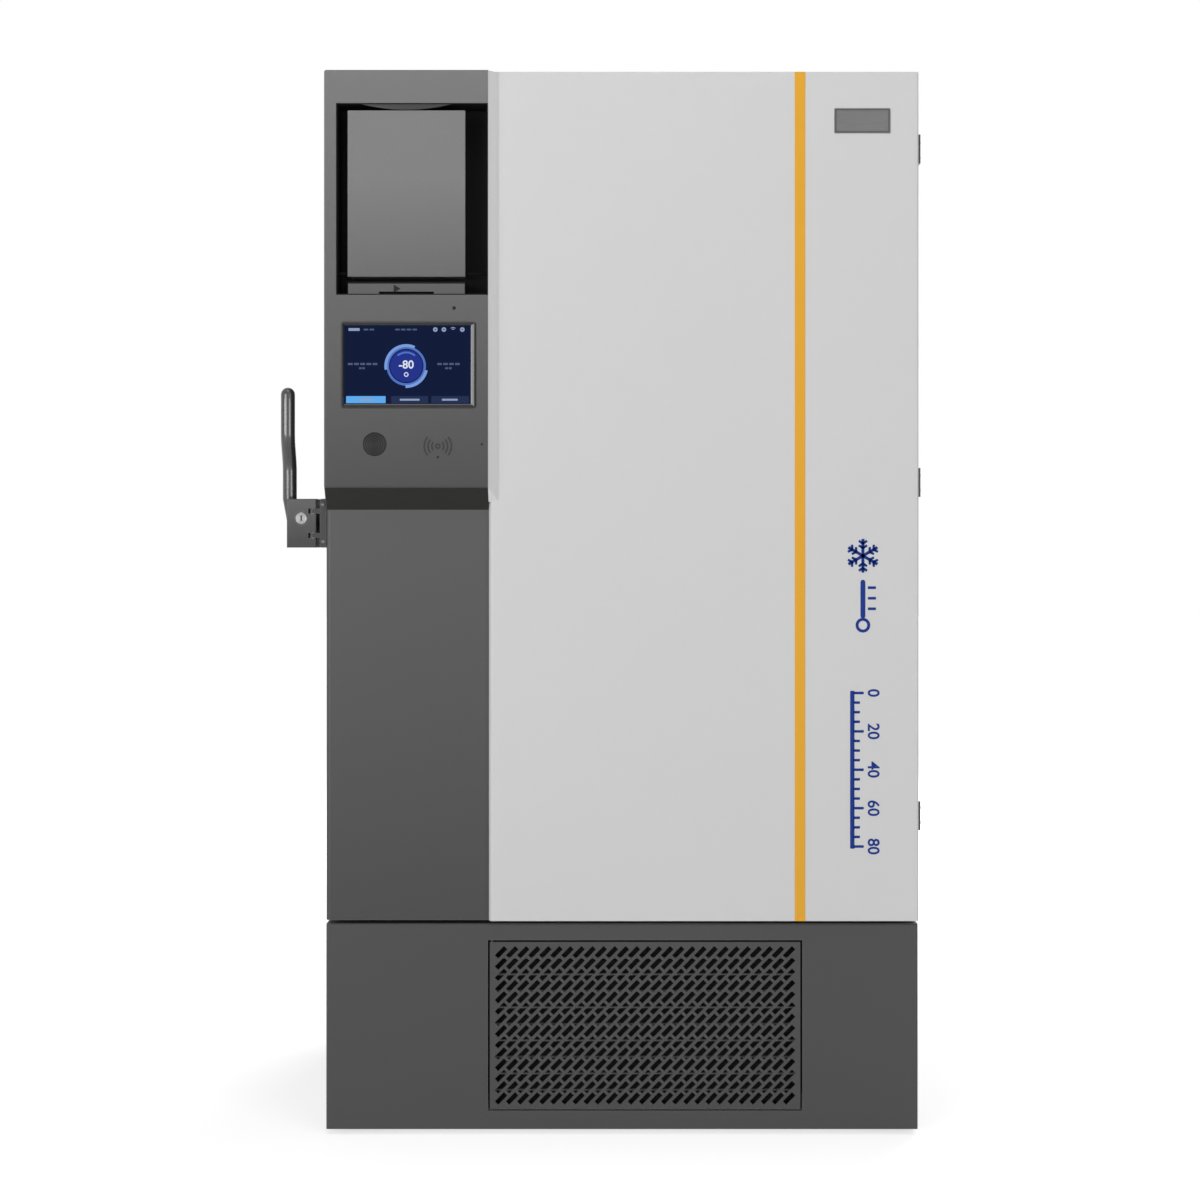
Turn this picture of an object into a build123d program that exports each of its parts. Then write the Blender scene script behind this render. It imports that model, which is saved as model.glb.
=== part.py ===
from build123d import *
import os

# Upright ultra low temperature freezer, in millimetres. The origin is on the floor under the
# middle of the overall box, +Z is up and the door faces -Y.

# Envelope of the cabinet
WIDTH = 1090
HEIGHT = 1955
DEPTH = 997
SKIN = 2
WALL = 110
BASE_HEIGHT = 378
SKIRT_GAP = 10

# Front faces: the console stands out furthest, then the light panel, then the lower column
CONSOLE_STEP = 34
PANEL_STEP = 12
DOOR_THICKNESS = 88
SEAM_GAP = 26
DOOR_GAP = 7
TRIM = 4
DOOR_SHEET = 3
EDGE_ROUND = 4
PANEL_ROUND = 10

# Dark column on the left of the door, with the niche and the console measured from the top
COLUMN_WIDTH = 300
NICHE_FRAME = 22
NICHE_TOP_STRIP = 61
NICHE_HEIGHT = 351
NICHE_DEPTH = 80
NICHE_SHEET = 2
CONSOLE_HEIGHT = 350
CONSOLE_CHAMFER = 43

# Document bin that tilts out of the niche
BIN_LEFT = 43
BIN_RIGHT = 42
BIN_SETBACK = 5
BIN_SHEET = 3
BIN_DEPTH = 54
BIN_TOP_GAP = 13
TUB_DROP = 75
LEDGE_HEIGHT = 25
LEDGE_GAP = 9
BIN_PIN_RADIUS = 3
LIP_WIDTH = 165
LIP_DROP = 11

# Console controls, measured from the niche and from the left side
SCREEN_LEFT = 35
SCREEN_RIGHT = 24
SCREEN_DROP = 52
SCREEN_HEIGHT = 152
SCREEN_ROUND = 4
GLASS_SINK = 2.5
BEZEL = 5
BEZEL_SLOPE = 60
MODULE_LAP = 6
MODULE_DEPTH = 14
BOARD_STANDOFF = 10
BOARD_SHEET = 2
READER_LEFT = 93
READER_DROP = 273
READER_RADIUS = 22
SENSOR_RADIUS = 3.5
SENSOR_LEFT = 238
SENSOR_DROP = 24

# Trim on the light panel
STRIP_LEFT = 872
STRIP_WIDTH = 19
STRIP_SHEET = 0.8
BADGE_LEFT = 935
BADGE_WIDTH = 103
BADGE_HEIGHT = 46
BADGE_DROP = 67
BADGE_SHEET = 1.5

# Handle on the left side of the door
HANDLE_DROP = 22
HANDLE_HEIGHT = 90
HANDLE_DEPTH = 66
HANDLE_SETBACK = 4
HANDLE_BASE = 12
HANDLE_SLIT = 7
BLOCK_WIDTH = 54
LEVER_OFFSET = 73
LEVER_RADIUS = 13
LEVER_RISE = 206
LEVER_STRAIGHT = 57
LEVER_CRANK = 57
LEVER_LEAN = 26
LEVER_SETBACK = 42
LEVER_TAIL = 54
LEVER_TIP = 3
PIVOT_INSET = 7
PIVOT_SETBACK = 8
PIVOT_RADIUS = 3.5
EAR_HEIGHT = 9
LOCK_RADIUS = 11
LOCK_DEPTH = 24
LOCK_PROUD = 2.5
PAWL_WIDTH = 12
PAWL_HEIGHT = 34
PAWL_OVERLAP = 40
STRIKE_REACH = 16
STRIKE_HEIGHT = 51

# Door hinges on the right side
HINGE_LEAF = 10
HINGE_BARREL = 10
HINGE_PIN = 5
HINGE_HEIGHT = 108
HINGE_LENGTH = 58
HINGE_END = 160
HINGE_COUNT = 3

# Fits
RUN = 0.06
SEAT = 0.2
CLEAR = 0.5

# Inside of the cabinet
FLANGE = 26
FRAME_DEPTH = 14
COIL_SPACE = 14
LINER_SHEET = 2
PLUG_CLEAR = 9
PLUG_DEPTH = 30
PLUG_TAPER = 4
GASKET_INSET = 24
GASKET_WIDTH = 36
COMPARTMENTS = 4
INNER_DOOR = 30
INNER_DOOR_GAP = 5
INNER_DOOR_SIDE = 6
INNER_DOOR_AIR = 11
INNER_PULL = 90
ROD_RADIUS = 4
ROD_INSET = 12
ROD_SETBACK = 10
SHELF_SHEET = 2
SHELF_LIP = 18
SHELF_SETBACK = 14
LEDGE_LEG = 20
LEDGE_SHEET = 3
COIL_RUNS = 6
COIL_TUBE = 10
PORT_RADIUS = 24
PORT_CAP = 12
PORT_INSET = 220
PORT_DROP = 110

# Base and its front grille
PAN_LEVEL = 72
PAN_SHEET = 3
COVER_RETURN = 14
GRILLE_LEFT = 298
GRILLE_RIGHT = 213
GRILLE_BOTTOM = 34
GRILLE_TOP = 30
GRILLE_SEAM = 3.5
GRILLE_SHEET = 3
GRILLE_LIP = 10
GRILLE_PIN = 2
GRILLE_PIN_INSET = 4
SLOT_PITCH_X = 20.4
SLOT_PITCH_Z = 20.7
SLOT_LENGTH = 24
SLOT_WIDTH = 9
SLOT_LEAN = 45
LOUVRE_ROWS = 7
LOUVRE_PITCH = 30
LOUVRE_WIDTH = 260
LOUVRE_HEIGHT = 8
LOUVRE_GAP = 26
INLET_INSET = 110
INLET_WIDTH = 55
INLET_HEIGHT = 37
INLET_RIM = 10
SOCKET_WIDTH = 36
SOCKET_HEIGHT = 22
SOCKET_PITCH = 11

# Refrigeration set in the base
FILTER_DEPTH = 10
CONDENSER_DEPTH = 50
FIN_COUNT = 36
FIN_SLOT = 8
FIN_DEPTH = 15
FAN_RADIUS = 130
FAN_DEPTH = 34
FAN_BLADES = 5
FAN_HUB = 34
BLADE_PITCH = 28
BLADE_SHEET = 4
SHROUD_SHEET = 3
SHROUD_DEPTH = 46
MOTOR_RADIUS = 40
MOTOR_DEPTH = 60
SHAFT_RADIUS = 5
COMPRESSOR_RADIUS = 95
COMPRESSOR_WALL = 130
COMPRESSOR_DOME = 70
COMPRESSOR_FOOT = 190
COMPRESSOR_INSET = 300
FOOT_SHEET = 4
MOUNT_RADIUS = 13
MOUNT_HEIGHT = 18
STUB_LENGTH = 22
TUBE_RADIUS = 6
TUBE_BEND = 30
EXCHANGER = 110
EXCHANGER_DEPTH = 77
EXCHANGER_HEIGHT = 200
DRIER_RADIUS = 18
DRIER_NECK = 0.2
DRIER_CONE = 0.1
BOX_SIDE = 36
BOX_DEPTH = 160
BOX_HEADROOM = 110

# Feet and casters
FOOT_INSET = 72
FOOT_RADIUS = 24
FOOT_PAD = 12
STUD_RADIUS = 6
CASTER_INSET = 150
WHEEL_RADIUS = 25
WHEEL_WIDTH = 20
WHEEL_LIFT = 3
AXLE_RADIUS = 4
FORK_SHEET = 4
CASTER_TRAIL = 18
CASTER_PLATE = 72

# Planes that follow from the sizes above
HANDLE_REACH = LEVER_OFFSET + LEVER_RADIUS
MIDDLE = (HANDLE_REACH - HINGE_LEAF) / 2
LEFT = MIDDLE - WIDTH / 2
RIGHT = MIDDLE + WIDTH / 2
SPLIT = LEFT + COLUMN_WIDTH
CONSOLE_Y = -DEPTH / 2
COLUMN_Y = CONSOLE_Y + CONSOLE_STEP
PANEL_Y = COLUMN_Y - PANEL_STEP
DOOR_BACK = COLUMN_Y + DOOR_THICKNESS
CABINET_FRONT = DOOR_BACK + SEAM_GAP
REAR = DEPTH / 2 - PORT_CAP
BACK_SHEET_Y = REAR - SKIN
BASE_TOP = SKIRT_GAP + BASE_HEIGHT
DOOR_BOTTOM = BASE_TOP + DOOR_GAP
NICHE_TOP = HEIGHT - NICHE_TOP_STRIP
NICHE_BOTTOM = NICHE_TOP - NICHE_HEIGHT
NICHE_LEFT = LEFT + NICHE_FRAME
NICHE_BACK = CONSOLE_Y + NICHE_DEPTH
CONSOLE_BOTTOM = NICHE_BOTTOM - CONSOLE_HEIGHT
CHAMFER_BOTTOM = CONSOLE_BOTTOM - CONSOLE_CHAMFER
FRAME_BACK = CABINET_FRONT + FRAME_DEPTH
LINER_LEFT = LEFT + WALL
LINER_RIGHT = RIGHT - WALL
LINER_BOTTOM = BASE_TOP + WALL
LINER_TOP = HEIGHT - WALL
LINER_BACK = REAR - WALL
PLUG_BACK = CABINET_FRONT + PLUG_DEPTH
INNER_DOOR_Y = PLUG_BACK + INNER_DOOR_AIR
COMPARTMENT = (LINER_TOP - LINER_BOTTOM) / COMPARTMENTS
SHELF_FRONT = INNER_DOOR_Y + INNER_DOOR + SHELF_SETBACK
SHELF_LEVELS = [LINER_BOTTOM + COMPARTMENT * i for i in range(1, COMPARTMENTS)]
ROD_X = LINER_RIGHT - INNER_DOOR_SIDE - ROD_INSET
ROD_Y = INNER_DOOR_Y + ROD_SETBACK
HINGE_X = RIGHT + HINGE_LEAF - HINGE_BARREL
HINGE_Y = DOOR_BACK + SEAM_GAP / 2
HINGE_STEP = (HEIGHT - DOOR_BOTTOM - 2 * HINGE_END) / (HINGE_COUNT - 1)
HINGE_LEVELS = [DOOR_BOTTOM + HINGE_END + HINGE_STEP * i for i in range(HINGE_COUNT)]
HANDLE_TOP = CONSOLE_BOTTOM - HANDLE_DROP
HANDLE_BOTTOM = HANDLE_TOP - HANDLE_HEIGHT
HANDLE_Y = COLUMN_Y + HANDLE_SETBACK
BLOCK_RIGHT = LEFT - HANDLE_BASE - HANDLE_SLIT
BLOCK_LEFT = BLOCK_RIGHT - BLOCK_WIDTH
PIVOT_X = BLOCK_RIGHT - PIVOT_INSET
PIVOT_Y = HANDLE_Y + PIVOT_SETBACK
EAR_LEVELS = [HANDLE_BOTTOM + HANDLE_HEIGHT / 5, HANDLE_TOP - HANDLE_HEIGHT / 5 - EAR_HEIGHT]
LOCK_X = (BLOCK_LEFT + BLOCK_RIGHT) / 2
LOCK_Z = (HANDLE_TOP + HANDLE_BOTTOM) / 2 + EAR_HEIGHT
LEVER_X = LEFT - LEVER_OFFSET
LEVER_Y = HANDLE_Y + LEVER_SETBACK
GRILLE_LOW = (LEFT + GRILLE_LEFT, SKIRT_GAP + GRILLE_BOTTOM)
GRILLE_HIGH = (RIGHT - GRILLE_RIGHT, BASE_TOP - GRILLE_TOP)
GRILLE_MID = ((GRILLE_LOW[0] + GRILLE_HIGH[0]) / 2, (GRILLE_LOW[1] + GRILLE_HIGH[1]) / 2)
GRILLE_PIN_X = GRILLE_LOW[0] + GRILLE_SEAM + GRILLE_PIN_INSET
GRILLE_PIN_Y = COLUMN_Y + GRILLE_PIN_INSET
CONDENSER_Y = COLUMN_Y + SKIN + GRILLE_LIP + CLEAR + FILTER_DEPTH
SHROUD_Y = CONDENSER_Y + CONDENSER_DEPTH
PAN_TOP = PAN_LEVEL + PAN_SHEET
FAN_Z = (PAN_TOP + GRILLE_HIGH[1]) / 2
MACHINE_Y = SHROUD_Y + SHROUD_DEPTH + MOTOR_DEPTH + COMPRESSOR_FOOT
EXCHANGER_Y = MACHINE_Y + COMPRESSOR_RADIUS + EXCHANGER / 2
CASTER_FRONT_Y = COLUMN_Y + CASTER_INSET
CASTER_REAR_Y = REAR - CASTER_INSET
CASTER_SIDES = {"left": LEFT + CASTER_INSET, "right": RIGHT - CASTER_INSET}
WHEEL_Z = WHEEL_LIFT + WHEEL_RADIUS
FORK_TOP = PAN_LEVEL - 2 * FORK_SHEET


def front_plane(y):
    """Plane at depth y facing the user: its x is X, its y is Z and it extrudes to the front."""
    return Plane.XZ.offset(-y)


def rect(low, high, mode=Mode.ADD):
    """Sketch rectangle between two opposite corners."""
    with Locations(((low[0] + high[0]) / 2, (low[1] + high[1]) / 2)):
        Rectangle(high[0] - low[0], high[1] - low[1], mode=mode)


def block(low, high, mode=Mode.ADD):
    """Solid block between two opposite corners."""
    centre = [(a + b) / 2 for a, b in zip(low, high)]
    with Locations(tuple(centre)):
        Box(*[b - a for a, b in zip(low, high)], mode=mode)


def keep(piece, name):
    """Label a finished piece and write it to its own file."""
    piece.label = name
    export_step(piece, f"parts/{name}.step")


def front_corners(plan):
    """Corners of a plan sketch along its front edge, from left to right."""
    return plan.vertices().group_by(Axis.Y)[0].sort_by(Axis.X)


def panel_set(spans, name):
    """Separate flat panels, each given by two corners, kept together as one piece."""
    panels = []
    for low, high in spans:
        with BuildPart() as panel:
            block(low, high)
        panels.append(panel.part)
    keep(Compound(children=panels), name)


def cabinet_skins():
    """Steel wrap with its front flange, and the sheet that closes the rear."""
    with BuildPart() as shell:
        with BuildSketch(front_plane(CABINET_FRONT)):
            rect((LEFT, BASE_TOP), (RIGHT, HEIGHT))
            rect((LEFT + SKIN, BASE_TOP + SKIN), (RIGHT - SKIN, HEIGHT - SKIN), Mode.SUBTRACT)
        extrude(amount=CABINET_FRONT - BACK_SHEET_Y)
        with BuildSketch(front_plane(CABINET_FRONT)):
            rect((LEFT, BASE_TOP), (RIGHT, HEIGHT))
            rect((LEFT + FLANGE, BASE_TOP + FLANGE), (RIGHT - FLANGE, HEIGHT - FLANGE), Mode.SUBTRACT)
        extrude(amount=-SKIN)
    keep(shell.part, "cabinet_shell")

    with BuildPart() as back:
        with BuildSketch(front_plane(REAR)):
            rect((LEFT, BASE_TOP), (RIGHT, HEIGHT))
        extrude(amount=SKIN)
        fillet(back.edges().filter_by(Axis.Y), EDGE_ROUND)
    keep(back.part, "cabinet_back_panel")


def cabinet_lining():
    """Frame round the opening, insulation panels, and the stainless liner with its shelf rails."""
    with BuildPart() as frame:
        with BuildSketch(front_plane(CABINET_FRONT)):
            rect((LEFT + FLANGE, BASE_TOP + FLANGE), (RIGHT - FLANGE, HEIGHT - FLANGE))
            rect((LINER_LEFT, LINER_BOTTOM), (LINER_RIGHT, LINER_TOP), Mode.SUBTRACT)
        extrude(amount=-SKIN)
        with BuildSketch(front_plane(CABINET_FRONT + SKIN)):
            rect((LEFT + SKIN, BASE_TOP + SKIN), (RIGHT - SKIN, HEIGHT - SKIN))
            rect((LINER_LEFT, LINER_BOTTOM), (LINER_RIGHT, LINER_TOP), Mode.SUBTRACT)
        extrude(amount=SKIN - FRAME_DEPTH)
        inner_rim = frame.edges().group_by(Axis.Y)[0].filter_by(
            lambda e: LINER_LEFT - CLEAR < e.center().X < LINER_RIGHT + CLEAR
            and LINER_BOTTOM - CLEAR < e.center().Z < LINER_TOP + CLEAR
        )
        chamfer(inner_rim, EDGE_ROUND)
    keep(frame.part, "door_frame")

    front, back = FRAME_BACK, BACK_SHEET_Y
    left, right = LEFT + SKIN, RIGHT - SKIN
    floor, top = BASE_TOP + SKIN, HEIGHT - SKIN
    inset = LINER_SHEET + COIL_SPACE
    in_left, in_right = LINER_LEFT - inset, LINER_RIGHT + inset
    in_floor, in_top, in_back = LINER_BOTTOM - LINER_SHEET, LINER_TOP + inset, LINER_BACK + inset
    panel_set(
        [
            ((left, front, floor), (in_left, back, top)),
            ((in_right, front, floor), (right, back, top)),
            ((in_left, front, in_top), (in_right, back, top)),
            ((in_left, front, floor), (in_right, back, in_floor)),
            ((in_left, in_back, in_floor), (in_right, back, in_top)),
        ],
        "cabinet_insulation",
    )

    t = LINER_SHEET
    rail_front = SHELF_FRONT + SHELF_SHEET + CLEAR
    rails = []
    for z in SHELF_LEVELS:
        top = z - SHELF_SHEET
        low = top - LEDGE_SHEET
        rails += [
            ((LINER_LEFT, rail_front, low), (LINER_LEFT + LEDGE_LEG, LINER_BACK, top)),
            ((LINER_RIGHT - LEDGE_LEG, rail_front, low), (LINER_RIGHT, LINER_BACK, top)),
        ]
    panel_set(
        rails
        + [
            ((LINER_LEFT - t, front, LINER_BOTTOM), (LINER_LEFT, LINER_BACK, LINER_TOP)),
            ((LINER_RIGHT, front, LINER_BOTTOM), (LINER_RIGHT + t, LINER_BACK, LINER_TOP)),
            ((LINER_LEFT - t, front, LINER_TOP), (LINER_RIGHT + t, LINER_BACK, LINER_TOP + t)),
            ((LINER_LEFT - t, front, LINER_BOTTOM - t), (LINER_RIGHT + t, LINER_BACK, LINER_BOTTOM)),
            (
                (LINER_LEFT - t, LINER_BACK, LINER_BOTTOM - t),
                (LINER_RIGHT + t, LINER_BACK + t, LINER_TOP + t),
            ),
        ],
        "inner_liner",
    )


def evaporator():
    """Flat tube that runs to and fro round three sides of the liner, inside the insulation."""
    offset = LINER_SHEET + SEAT + COIL_TUBE / 2
    x0, x1, y1 = LINER_LEFT - offset, LINER_RIGHT + offset, LINER_BACK + offset
    y0 = FRAME_BACK + COIL_TUBE * 3
    step = (LINER_TOP - LINER_BOTTOM) / COIL_RUNS
    points = []
    for i in range(COIL_RUNS):
        z = LINER_BOTTOM + step * (i + 0.5)
        run = [(x0, y0, z), (x0, y1, z), (x1, y1, z), (x1, y0, z)]
        points += run if i % 2 == 0 else run[::-1]
    with BuildPart() as coil:
        with BuildLine() as path:
            Polyline(*points)
        with BuildSketch(Plane(origin=points[0], x_dir=(1, 0, 0), z_dir=(0, 1, 0))):
            Rectangle(COIL_TUBE, COIL_TUBE)
        sweep(path=path.wires()[0], transition=Transition.RIGHT)
    keep(coil.part, "evaporator_coil")


def shelf_set():
    """Steel shelves with a lip in front, resting on the angles of the liner."""
    with BuildPart() as shelves:
        with BuildSketch(Plane.YZ.offset(LINER_LEFT + SEAT)):
            for z in SHELF_LEVELS:
                rect((SHELF_FRONT, z - SHELF_SHEET), (LINER_BACK - SEAT, z))
                rect((SHELF_FRONT, z - SHELF_LIP), (SHELF_FRONT + SHELF_SHEET, z))
        extrude(amount=LINER_RIGHT - LINER_LEFT - 2 * SEAT)
    keep(shelves.part, "shelves")


def inner_doors():
    """One insulated flap for each compartment, all turning on one rod with a collar under each."""
    left, right = LINER_LEFT + INNER_DOOR_SIDE, LINER_RIGHT - INNER_DOOR_SIDE
    for i in range(COMPARTMENTS):
        low = LINER_BOTTOM + COMPARTMENT * i + INNER_DOOR_GAP / 2
        high = low + COMPARTMENT - INNER_DOOR_GAP
        with BuildPart() as flap:
            with BuildSketch(front_plane(INNER_DOOR_Y)):
                rect((left, low), (right, high))
            extrude(amount=-INNER_DOOR)
            chamfer(flap.faces().sort_by(Axis.Y)[0].edges(), EDGE_ROUND / 2)
            with BuildSketch(front_plane(INNER_DOOR_Y)):
                with Locations((left + INNER_PULL / 2, (low + high) / 2)):
                    RectangleRounded(INNER_PULL / 2, INNER_PULL, EDGE_ROUND)
            extrude(amount=-INNER_DOOR / 3, mode=Mode.SUBTRACT)
            with BuildSketch(Plane.XY.offset(low)):
                with Locations((ROD_X, ROD_Y)):
                    Circle(ROD_RADIUS + RUN)
            extrude(amount=high - low, mode=Mode.SUBTRACT)
        keep(flap.part, f"inner_door_{i + 1}")

    with BuildPart() as rod:
        with BuildSketch(Plane.XY.offset(LINER_BOTTOM)):
            with Locations((ROD_X, ROD_Y)):
                Circle(ROD_RADIUS)
        extrude(amount=LINER_TOP - LINER_BOTTOM)
        for i in range(COMPARTMENTS):
            level = LINER_BOTTOM + COMPARTMENT * i
            low = level if i == 0 else level - INNER_DOOR_GAP / 2 + SEAT
            with BuildSketch(Plane.XY.offset(low)):
                with Locations((ROD_X, ROD_Y)):
                    Circle(ROD_RADIUS * 2)
            extrude(amount=level + INNER_DOOR_GAP / 2 - SEAT - low)
    keep(rod.part, "inner_door_rod")


def probe_port():
    """Capped probe port: a screw cap on the rear sheet and its flange inside the liner."""
    x, z = RIGHT - PORT_INSET, LINER_TOP - PORT_DROP
    with BuildPart() as port:
        for face, way in ((REAR, -1), (LINER_BACK, 1)):
            with BuildSketch(front_plane(face)):
                with Locations((x, z)):
                    Circle(PORT_RADIUS)
            extrude(amount=way * PORT_CAP / 3)
            with BuildSketch(front_plane(face - way * PORT_CAP / 3)):
                with Locations((x, z)):
                    RegularPolygon(PORT_RADIUS * 2 / 3, 8)
            extrude(amount=way * PORT_CAP * 2 / 3)
    keep(port.part, "access_port")


def door_skins():
    """Light front panel, dark lower column and the inside pan with its plug."""
    with BuildPart() as panel:
        with BuildSketch(Plane.XY.offset(DOOR_BOTTOM)) as plan:
            rect((SPLIT, PANEL_Y), (RIGHT, DOOR_BACK))
            fillet(front_corners(plan)[0], PANEL_ROUND)
            fillet(front_corners(plan)[-1], EDGE_ROUND)
        extrude(amount=HEIGHT - DOOR_BOTTOM)
        with BuildSketch(Plane.XY.offset(DOOR_BOTTOM + SKIN)) as hollow:
            rect((SPLIT + SKIN, PANEL_Y + SKIN), (RIGHT - SKIN, DOOR_BACK))
            fillet(front_corners(hollow)[0], PANEL_ROUND - SKIN)
            fillet(front_corners(hollow)[-1], EDGE_ROUND - SKIN)
            rect((SPLIT, COLUMN_Y + TRIM), (SPLIT + 2 * SKIN, DOOR_BACK))
        extrude(amount=HEIGHT - DOOR_BOTTOM - 2 * SKIN, mode=Mode.SUBTRACT)
    keep(panel.part, "door_front_panel")

    with BuildPart() as column:
        with BuildSketch(Plane.XY.offset(DOOR_BOTTOM)) as plan:
            rect((LEFT, COLUMN_Y), (SPLIT, DOOR_BACK))
            fillet(front_corners(plan)[0], EDGE_ROUND * 2)
        extrude(amount=CHAMFER_BOTTOM - DOOR_BOTTOM)
        with BuildSketch(Plane.XY.offset(DOOR_BOTTOM + TRIM)) as hollow:
            rect((LEFT + TRIM, COLUMN_Y + TRIM), (SPLIT, DOOR_BACK))
            fillet(front_corners(hollow)[0], EDGE_ROUND)
        extrude(amount=CHAMFER_BOTTOM - DOOR_BOTTOM, mode=Mode.SUBTRACT)
    keep(column.part, "column_lower_panel")


def plug_rect(inset):
    """Outline of the door plug at the opening, drawn in by an inset."""
    side = PLUG_CLEAR + inset
    low = (LINER_LEFT + side, LINER_BOTTOM + side)
    high = (LINER_RIGHT - side, LINER_TOP - side)
    rect(low, high)


def door_filling():
    """Foam core of the door, its inside pan and the gasket."""
    pan_y = DOOR_BACK - DOOR_SHEET
    plug = PLUG_BACK - DOOR_BACK
    with BuildPart() as core:
        block((LEFT + TRIM, COLUMN_Y + TRIM, DOOR_BOTTOM + TRIM), (RIGHT - SKIN, pan_y, HEIGHT - TRIM))
        block(
            (SPLIT + SKIN, PANEL_Y + SKIN, DOOR_BOTTOM + TRIM),
            (RIGHT - SKIN, pan_y, HEIGHT - TRIM),
        )
        block((LEFT, CONSOLE_Y, CHAMFER_BOTTOM), (SPLIT, NICHE_BACK, HEIGHT), Mode.SUBTRACT)
        uprights = core.edges().filter_by(Axis.Z)
        fillet(uprights.group_by(Axis.Y)[0].sort_by(Axis.X)[-1], EDGE_ROUND - SKIN)
        uprights = core.edges().filter_by(Axis.Z)
        fillet(uprights.group_by(Axis.Y)[0].sort_by(Axis.X)[0], PANEL_ROUND - SKIN)
        uprights = core.edges().filter_by(Axis.Z)
        fillet(uprights.sort_by(Axis.X)[0:2].sort_by(Axis.Y)[0], EDGE_ROUND)
        with BuildSketch(front_plane(pan_y)):
            plug_rect(DOOR_SHEET)
        extrude(amount=-plug, taper=PLUG_TAPER)
    keep(core.part, "door_core")

    with BuildPart() as pan:
        with BuildSketch(front_plane(pan_y)):
            rect((LEFT + TRIM, DOOR_BOTTOM + TRIM), (RIGHT - SKIN, HEIGHT - TRIM))
        extrude(amount=-DOOR_SHEET)
        with BuildSketch(front_plane(pan_y)):
            plug_rect(0)
        extrude(amount=-plug - DOOR_SHEET, taper=PLUG_TAPER)
        with BuildSketch(front_plane(pan_y)):
            plug_rect(DOOR_SHEET)
        extrude(amount=-plug, taper=PLUG_TAPER, mode=Mode.SUBTRACT)
    keep(pan.part, "door_inner_liner")

    with BuildPart() as gasket:
        with BuildSketch(front_plane(DOOR_BACK)):
            edge = GASKET_INSET
            rect((LEFT + edge, DOOR_BOTTOM + edge), (RIGHT - edge, HEIGHT - edge))
            edge = GASKET_INSET + GASKET_WIDTH
            rect((LEFT + edge, DOOR_BOTTOM + edge), (RIGHT - edge, HEIGHT - edge), Mode.SUBTRACT)
        extrude(amount=CLEAR - SEAM_GAP)
        chamfer(gasket.faces().sort_by(Axis.Y)[-1].edges(), GASKET_WIDTH / 4)
    keep(gasket.part, "door_gasket")


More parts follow.
